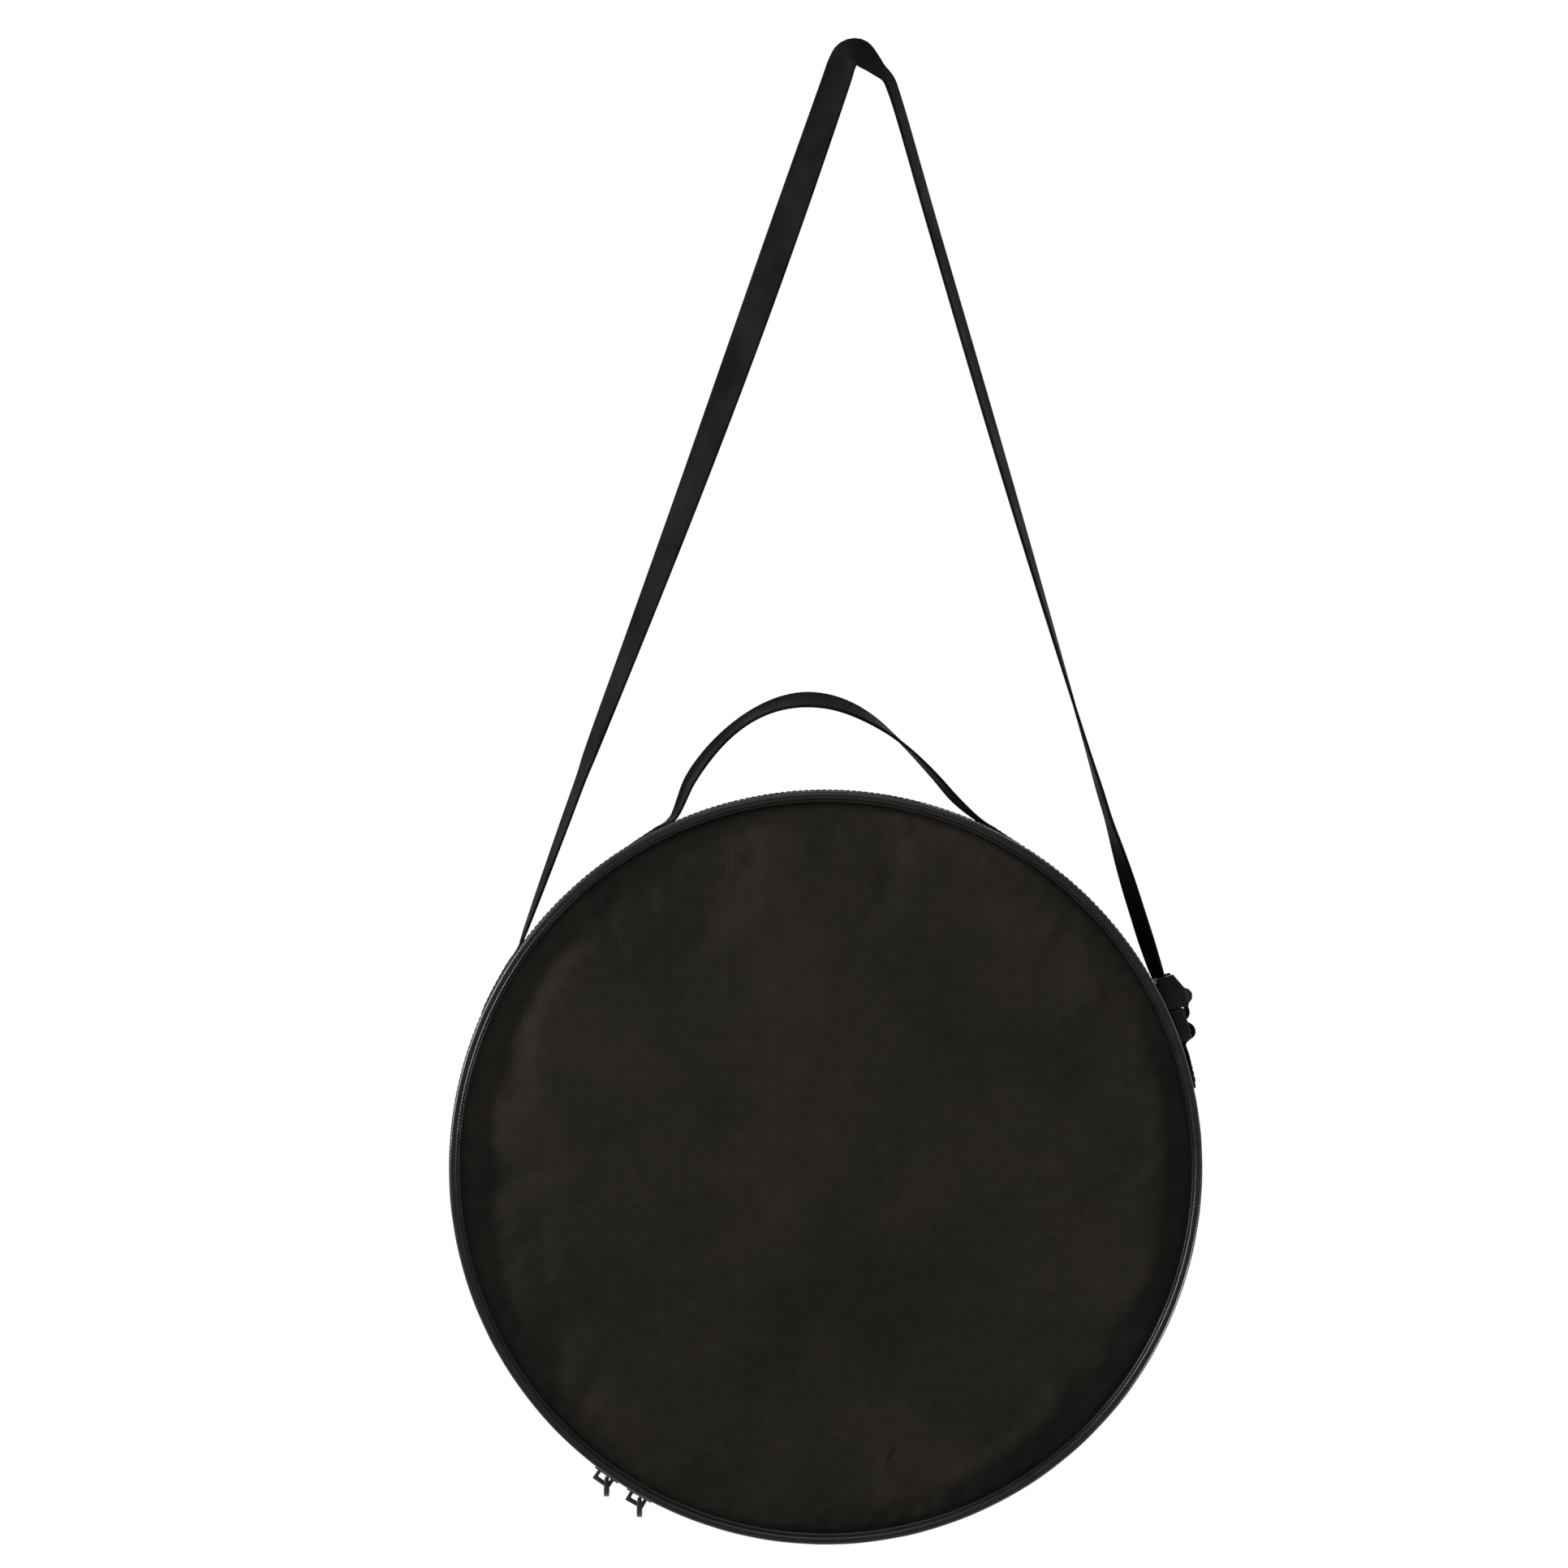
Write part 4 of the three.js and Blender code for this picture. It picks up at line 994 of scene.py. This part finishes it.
TAB_LONG = 30 * MM


def return_points():
    points = []
    low_u, low_v = RING_U + RING_PLAY, 2 * RING_V
    for i in range(9):
        share = i / 8
        ease = share * share * (3 - 2 * share)
        bow = sin(pi * share) ** 2
        out = low_v + (MIDDLE_V + WRAP - low_v) * ease + RETURN_BOW * bow
        points.append(at(by_right(low_u + (MIDDLE_U - low_u) * share, out), RETURN_ROLL * bow))
    round_bar = [pi * i / 6 for i in range(1, 7)]
    return points + bent_by_right(MIDDLE_U, MIDDLE_V, WRAP, round_bar)


def tab_points():
    """Up from the end of the outer layer, round the ring's lower bar and back under it."""
    seat = by_right(0, RING_V)
    reach = seat - CENTRE
    eye_angle = atan2(reach.z, reach.x)
    inner = reach.length - BAR_REACH - HALF_THICK
    low = eye_angle - TAB_LONG / inner
    eye_from = eye_angle - (BAR_REACH + 2 * MM) / inner
    points = []
    for i in range(5):
        share = i / 4
        radius = TOUCH + (inner - TOUCH) * share + WEB_THICK
        points.append(at(around(radius, low + (eye_from - low) * share, 0)))
    for degrees in (-40, -5, 30, 65, 100, 135, 170):
        turn = eye_angle + radians(degrees)
        bend = Vector((cos(turn), 0, sin(turn))) * (BAR_REACH + HALF_THICK)
        points.append(at(seat + bend))
    for i in range(6):
        share = i / 5
        radius = inner + (TOUCH - inner) * share
        points.append(at(around(radius, eye_angle + (low - eye_angle) * share, 0)))
    return points


return_webbing = make_webbing("return_webbing", return_points(), ["strap_return"])
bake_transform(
    return_webbing,
    "pouch",
    "adjuster",
    start=by_right(RING_U, 0),
    end=by_right(MIDDLE_U - 3 * MM, 0),
)
make_webbing("ring_tab_webbing", tab_points(), ["ring_tab"], "pouch")

# %% [markdown]
# ## Moulded ring and adjuster, cast sliders and pulls
# The ring and adjuster are plain injection mouldings whose edges are rounded for the webbing's
# sake, and the sliders and pulls are small castings. Their solids already have the right shape,
# so copies of them are merged, their flat facets dissolved, and their edges bevelled. A pull is
# stouter at the end that is held, so its copy is first thickened there and drawn up a little.

# %% Rounded copies
PULL_EYE = 5 * MM
GRIP_STOUT = 1.3
GRIP_UP = 1 * MM


def stout_grip(bm):
    """A pull is short and thick at the end that is held, and thin at its eye."""
    top = max(vert.co.z for vert in bm.verts)
    grip = [vert for vert in bm.verts if vert.co.z < top - PULL_EYE]
    middle = sum(vert.co.x for vert in grip) / len(grip)
    for vert in grip:
        vert.co.x = middle + (vert.co.x - middle) * GRIP_STOUT
        vert.co.z += GRIP_UP


def rounded_copy(node, name, material, body, radius, shaped=None):
    bm = bmesh.new()
    bm.from_mesh(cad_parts[node].data)
    bmesh.ops.remove_doubles(bm, verts=bm.verts, dist=1e-6)
    if shaped:
        shaped(bm)
    bmesh.ops.dissolve_limit(bm, angle_limit=radians(3), verts=bm.verts, edges=bm.edges)
    sharp = [edge for edge in bm.edges if edge.calc_face_angle(0) > radians(30)]
    rounding = {"offset": radius, "segments": 3, "profile": 0.5, "clamp_overlap": True}
    bmesh.ops.bevel(bm, geom=sharp, affect="EDGES", material=-1, **rounding)
    bmesh.ops.recalc_face_normals(bm, faces=bm.faces)
    keep(bm, name, material, body, [node])


for part, body, radius in (("ring", "pouch", 1.3 * MM), ("adjuster", "adjuster", 0.7 * MM)):
    rounded_copy(f"strap_{part}", f"moulded_{part}", acetal, body, radius)
for letter in "ab":
    for part, radius, shaped in (("slider", 0.5 * MM, None), ("pull", 0.7 * MM, stout_grip)):
        name = f"{part}_{letter}"
        rounded_copy(f"zip_{name}", f"cast_{name}", enamel, name, radius, shaped)

# %% [markdown]
# ## Carry handle
# The handle is a length of the same webbing, sewn to the back band at both feet. The stitches
# press the ends of its feet into the padding, and the legs lift off the wall. Its left leg
# stands steeper than its right one, and its crown leans to the front. It bends between pouch
# and handle just above the feet, where the real webbing folds.

# %% Handle webbing
FOOT = 82 * MM
FOOT_ANGLE = acos(FOOT / TOUCH)
FOOT_Z = TOUCH * sin(FOOT_ANGLE)
FEET = ((pi - FOOT_ANGLE, 1), (FOOT_ANGLE, -1))  # left and right: angle, way to the end
CROWN_X = -9 * MM
CROWN_Z = CREST + 49.4 * MM
CROWN_ROLL = 18
LEFT_LEG_ROLLS = (6, 13, 13, 12, 12, 13, 15, 17)
RIGHT_LEG_ROLLS = (-2, -6, -5, -2, 3, 10, 14.5, 17)
HANDLE_SEWN = 28 * MM
PRESSED_IN = 1.2 * MM
FOOT_LIFT = 1.3 * MM
HANDLE_FOLD_Z = CENTRE.z + FOOT_Z + 12 * MM


def foot_rise(share):
    """How far a foot stands off the wall, from where its leg rises to its pressed end."""
    return FOOT_LIFT * (1 - share) ** 2 - PRESSED_IN * share


def sewn_foot(angle, way):
    """The sewn length of a foot, from its end to where the leg rises."""
    points = []
    for i in range(4):
        share = 1 - i / 4
        spot = angle + way * HANDLE_SEWN / TOUCH * share
        points.append(at(around(TOUCH + foot_rise(share), spot, 0)))
    return points


def handle_leg(angle, way, fullness, rolls):
    """Points up one leg from its foot, short of the crown, with the lean to the front."""
    points = [at(around(TOUCH + FOOT_LIFT, angle, 0), rolls[0])]
    foot_x = -way * FOOT
    for i, roll in list(enumerate(rolls))[1:]:
        share = i / len(rolls)
        climb = (1 - (1 - share) ** 2) ** fullness
        x = foot_x + (CROWN_X - foot_x) * share
        points.append(at(CENTRE + Vector((x, 0, FOOT_Z + (CROWN_Z - FOOT_Z) * climb)), roll))
    return points


handle_points = [
    *sewn_foot(*FEET[0]),
    *handle_leg(*FEET[0], 0.75, LEFT_LEG_ROLLS),
    at(CENTRE + Vector((CROWN_X, 0, CROWN_Z)), CROWN_ROLL),
    *reversed(handle_leg(*FEET[1], 1.2, RIGHT_LEG_ROLLS)),
    *reversed(sewn_foot(*FEET[1])),
]
handle_webbing = make_webbing(
    "handle_webbing",
    handle_points,
    ["carry_handle", "handle_left_end", "handle_right_end"],
    step=3 * MM,
)
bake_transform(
    handle_webbing,
    "pouch",
    "handle",
    start=(0, 0, HANDLE_FOLD_Z - 8 * MM),
    end=(0, 0, HANDLE_FOLD_Z + 8 * MM),
)

# %% [markdown]
# ## Stitches
# Rows of thread hold the folded lips to the zip tapes and the gusset's ends, and boxes with
# crosses hold the sewn ends of strap, handle and tab. One stitch is a small faceted bead,
# stretched along its row. A row is laid out on the unrolled wall, and each stitch is placed on
# the round wall from there.

# %% Stitch rows
STITCH_PITCH = 3.2 * MM
STITCH_SIZE = Matrix.Diagonal((1.35 * MM, 0.42 * MM, 0.36 * MM, 1))


def on_wall(radius, spot, direction):
    """A frame on the wall, from a spot in metres round it and in depth, with a direction there."""
    angle = spot.x / radius
    out = Vector((cos(angle), 0, sin(angle)))
    round_wall = Vector((-sin(angle), 0, cos(angle)))
    way = round_wall * direction.x + Vector((0, 1, 0)) * direction.y
    place = Matrix((way, out.cross(way), out)).transposed().to_4x4()
    place.translation = around(radius, angle, spot.y)
    return place


def sew(bm, radius, start, end, rise=None):
    """One straight row of stitches on the wall, between two spots, or on a foot above it."""
    start, end = Vector(start), Vector(end)
    count = max(1, round((end - start).length / STITCH_PITCH))
    for i in range(count):
        spot = start.lerp(end, (i + 0.5) / count)
        place = on_wall(radius, spot, (end - start).normalized())
        if rise:
            place.translation += place.col[2].xyz * rise(spot.x)
        bmesh.ops.create_icosphere(bm, subdivisions=1, radius=1.0, matrix=place @ STITCH_SIZE)


def sew_box(bm, radius, low, high, rise=None):
    """A box with a cross in it, as sewn on the end of a strap."""
    half = HALF_WIDE - 3.5 * MM
    corners = [(low, -half), (high, -half), (high, half), (low, half)]
    for a, b in zip(corners, corners[1:] + corners[:1]):
        sew(bm, radius, a, b, rise)
    sew(bm, radius, corners[0], corners[2], rise)
    sew(bm, radius, corners[1], corners[3], rise)


def make_lip_rows(side, end, body):
    bm = bmesh.new()
    for inset in (0.9 * MM, 3.2 * MM):
        y = ZIP_EDGE[side] - side * (LIP_OVER - inset)
        radius = wall_at(y) + 0.6 * MM
        sew(bm, radius, (ZIP_ENDS[0] * radius, y), (ZIP_ENDS[1] * radius, y))
    keep(bm, f"{end}_lip_stitches", thread, body)


def make_webbing_boxes():
    bm = bmesh.new()
    top = TOUCH + HALF_THICK * 0.95
    strap_end = LEFT_ANGLE * top
    sew_box(bm, top, strap_end + 5 * MM, strap_end + SEWN - 3 * MM)
    for angle, way in FEET:
        foot = angle * top
        low, high = sorted((foot + way * 8 * MM, foot + way * (HANDLE_SEWN - 3 * MM)))
        sew_box(bm, top, low, high, lambda spot: foot_rise(abs(spot - foot) / HANDLE_SEWN))
    seat = by_right(0, RING_V) - CENTRE
    tab_top = (seat.length - BAR_REACH - HALF_THICK + TOUCH) / 2 + WEB_THICK * 1.48
    tab_end = atan2(seat.z, seat.x) * tab_top
    sew_box(bm, tab_top, tab_end - 27 * MM, tab_end - 8 * MM)
    keep(bm, "webbing_stitches", thread, "pouch")


def make_gusset_rows():
    bm = bmesh.new()
    radius = CREST + GUSSET_RISE
    for end, inwards in zip(GUSSET_ENDS, (1, -1)):
        for inset in (2.2 * MM, 5.5 * MM):
            along = end * radius + inwards * inset
            sew(bm, radius, (along, -CREST_END), (along, CREST_END))
    piece = keep(bm, "gusset_stitches", thread)
    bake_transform(piece, "lid", "pouch", start=HINGE_FROM, end=HINGE_TO)


for_both_halves(make_lip_rows)
make_webbing_boxes()
make_gusset_rows()

# %% [markdown]
# ## Floor, light and camera
# The pouch hangs in front of white. The world shows white to the camera and in reflections, and
# lights the cloth at a plain level from all round. A large soft lamp above the pouch models the
# face, another one lights the back, and two soft boxes at the sides draw the streaks along the
# piping. The floor is pale and lies well below, out of the picture. The camera looks straight
# along Y, from a little above the pouch, with a lens that fits strap and pouch into a square frame.

# %% Floor and world
FLOOR_Z = -1.3
FLOOR_RADIUS = 0.52
AMBIENT = 0.36


def make_floor():
    material, tree = new_material("pale_floor", Roughness=0.9, Specular_IOR_Level=0.1)
    place = add(tree, "TexCoord").outputs["Object"]
    mottle = add(tree, "TexNoise", {"Vector": place, "Scale": 3.0, "Detail": 3.0})
    tone = add(tree, "ValToRGB", {"Fac": mottle}, stops=((0.0, "#f2f2f0"), (1.0, "#fafaf8")))
    bm = bmesh.new()
    bmesh.ops.create_circle(bm, cap_ends=True, segments=96, radius=FLOOR_RADIUS)
    bmesh.ops.translate(bm, vec=(CENTRE.x, 0, FLOOR_Z), verts=bm.verts)
    keep(bm, "studio_floor", wired(material, Base_Color=tone))


def make_world():
    world = bpy.data.worlds.new("white_studio")
    bpy.context.scene.world = world
    world.use_nodes = True
    tree = world.node_tree
    path = add(tree, "LightPath")
    shown = path.outputs["Is Camera Ray"]
    for ray in ("Is Glossy Ray", "Is Transmission Ray"):
        shown = add(tree, "Math", {0: shown, 1: path.outputs[ray]}, operation="MAXIMUM")
    level = add(tree, "MapRange", {"Value": shown, "To Min": AMBIENT, "To Max": 1.0})
    background = tree.nodes["Background"]
    background.inputs["Color"].default_value = (1, 1, 1, 1)
    tree.links.new(level.outputs[0], background.inputs["Strength"])


make_floor()
make_world()
print("floor and world ready")

# %% Lamps and camera
LAMP_TARGET = CENTRE + Vector((0, 0, 0.05))
LAMPS = (  # name, place, width, height and watts
    ("face_light", (0.0, -0.75, 0.5), 0.9, 0.6, 8.8),
    ("back_light", (0.1, 1.4, -0.2), 0.9, 0.9, 15),
    ("left_box", (-1.3, -0.2, -0.2), 0.14, 0.8, 44),
    ("right_box", (1.2, -0.2, -1.15), 0.14, 0.5, 32),
)
CAMERA_PLACE = (-0.0391, -3.0527, -0.3954)
LENS = 129.83


def soft_box(name, place, wide, high, power):
    lamp = bpy.data.lights.new(name, "AREA")
    lamp.shape = "RECTANGLE"
    lamp.size = wide
    lamp.size_y = high
    lamp.energy = power
    box = in_scene(name, lamp)
    box.location = place
    box.rotation_euler = (LAMP_TARGET - Vector(place)).to_track_quat("-Z", "Y").to_euler()


for lamp in LAMPS:
    soft_box(*lamp)
lens = bpy.data.cameras.new("camera")
lens.sensor_width = 36
lens.lens = LENS
camera = in_scene("camera", lens)
camera.location = CAMERA_PLACE
camera.rotation_euler = (radians(90), 0, 0)
bpy.context.scene.camera = camera
bpy.context.scene.view_settings.view_transform = "Standard"
print(len(LAMPS), "lamps, and a camera", round(-camera.location.y, 2), "m in front")
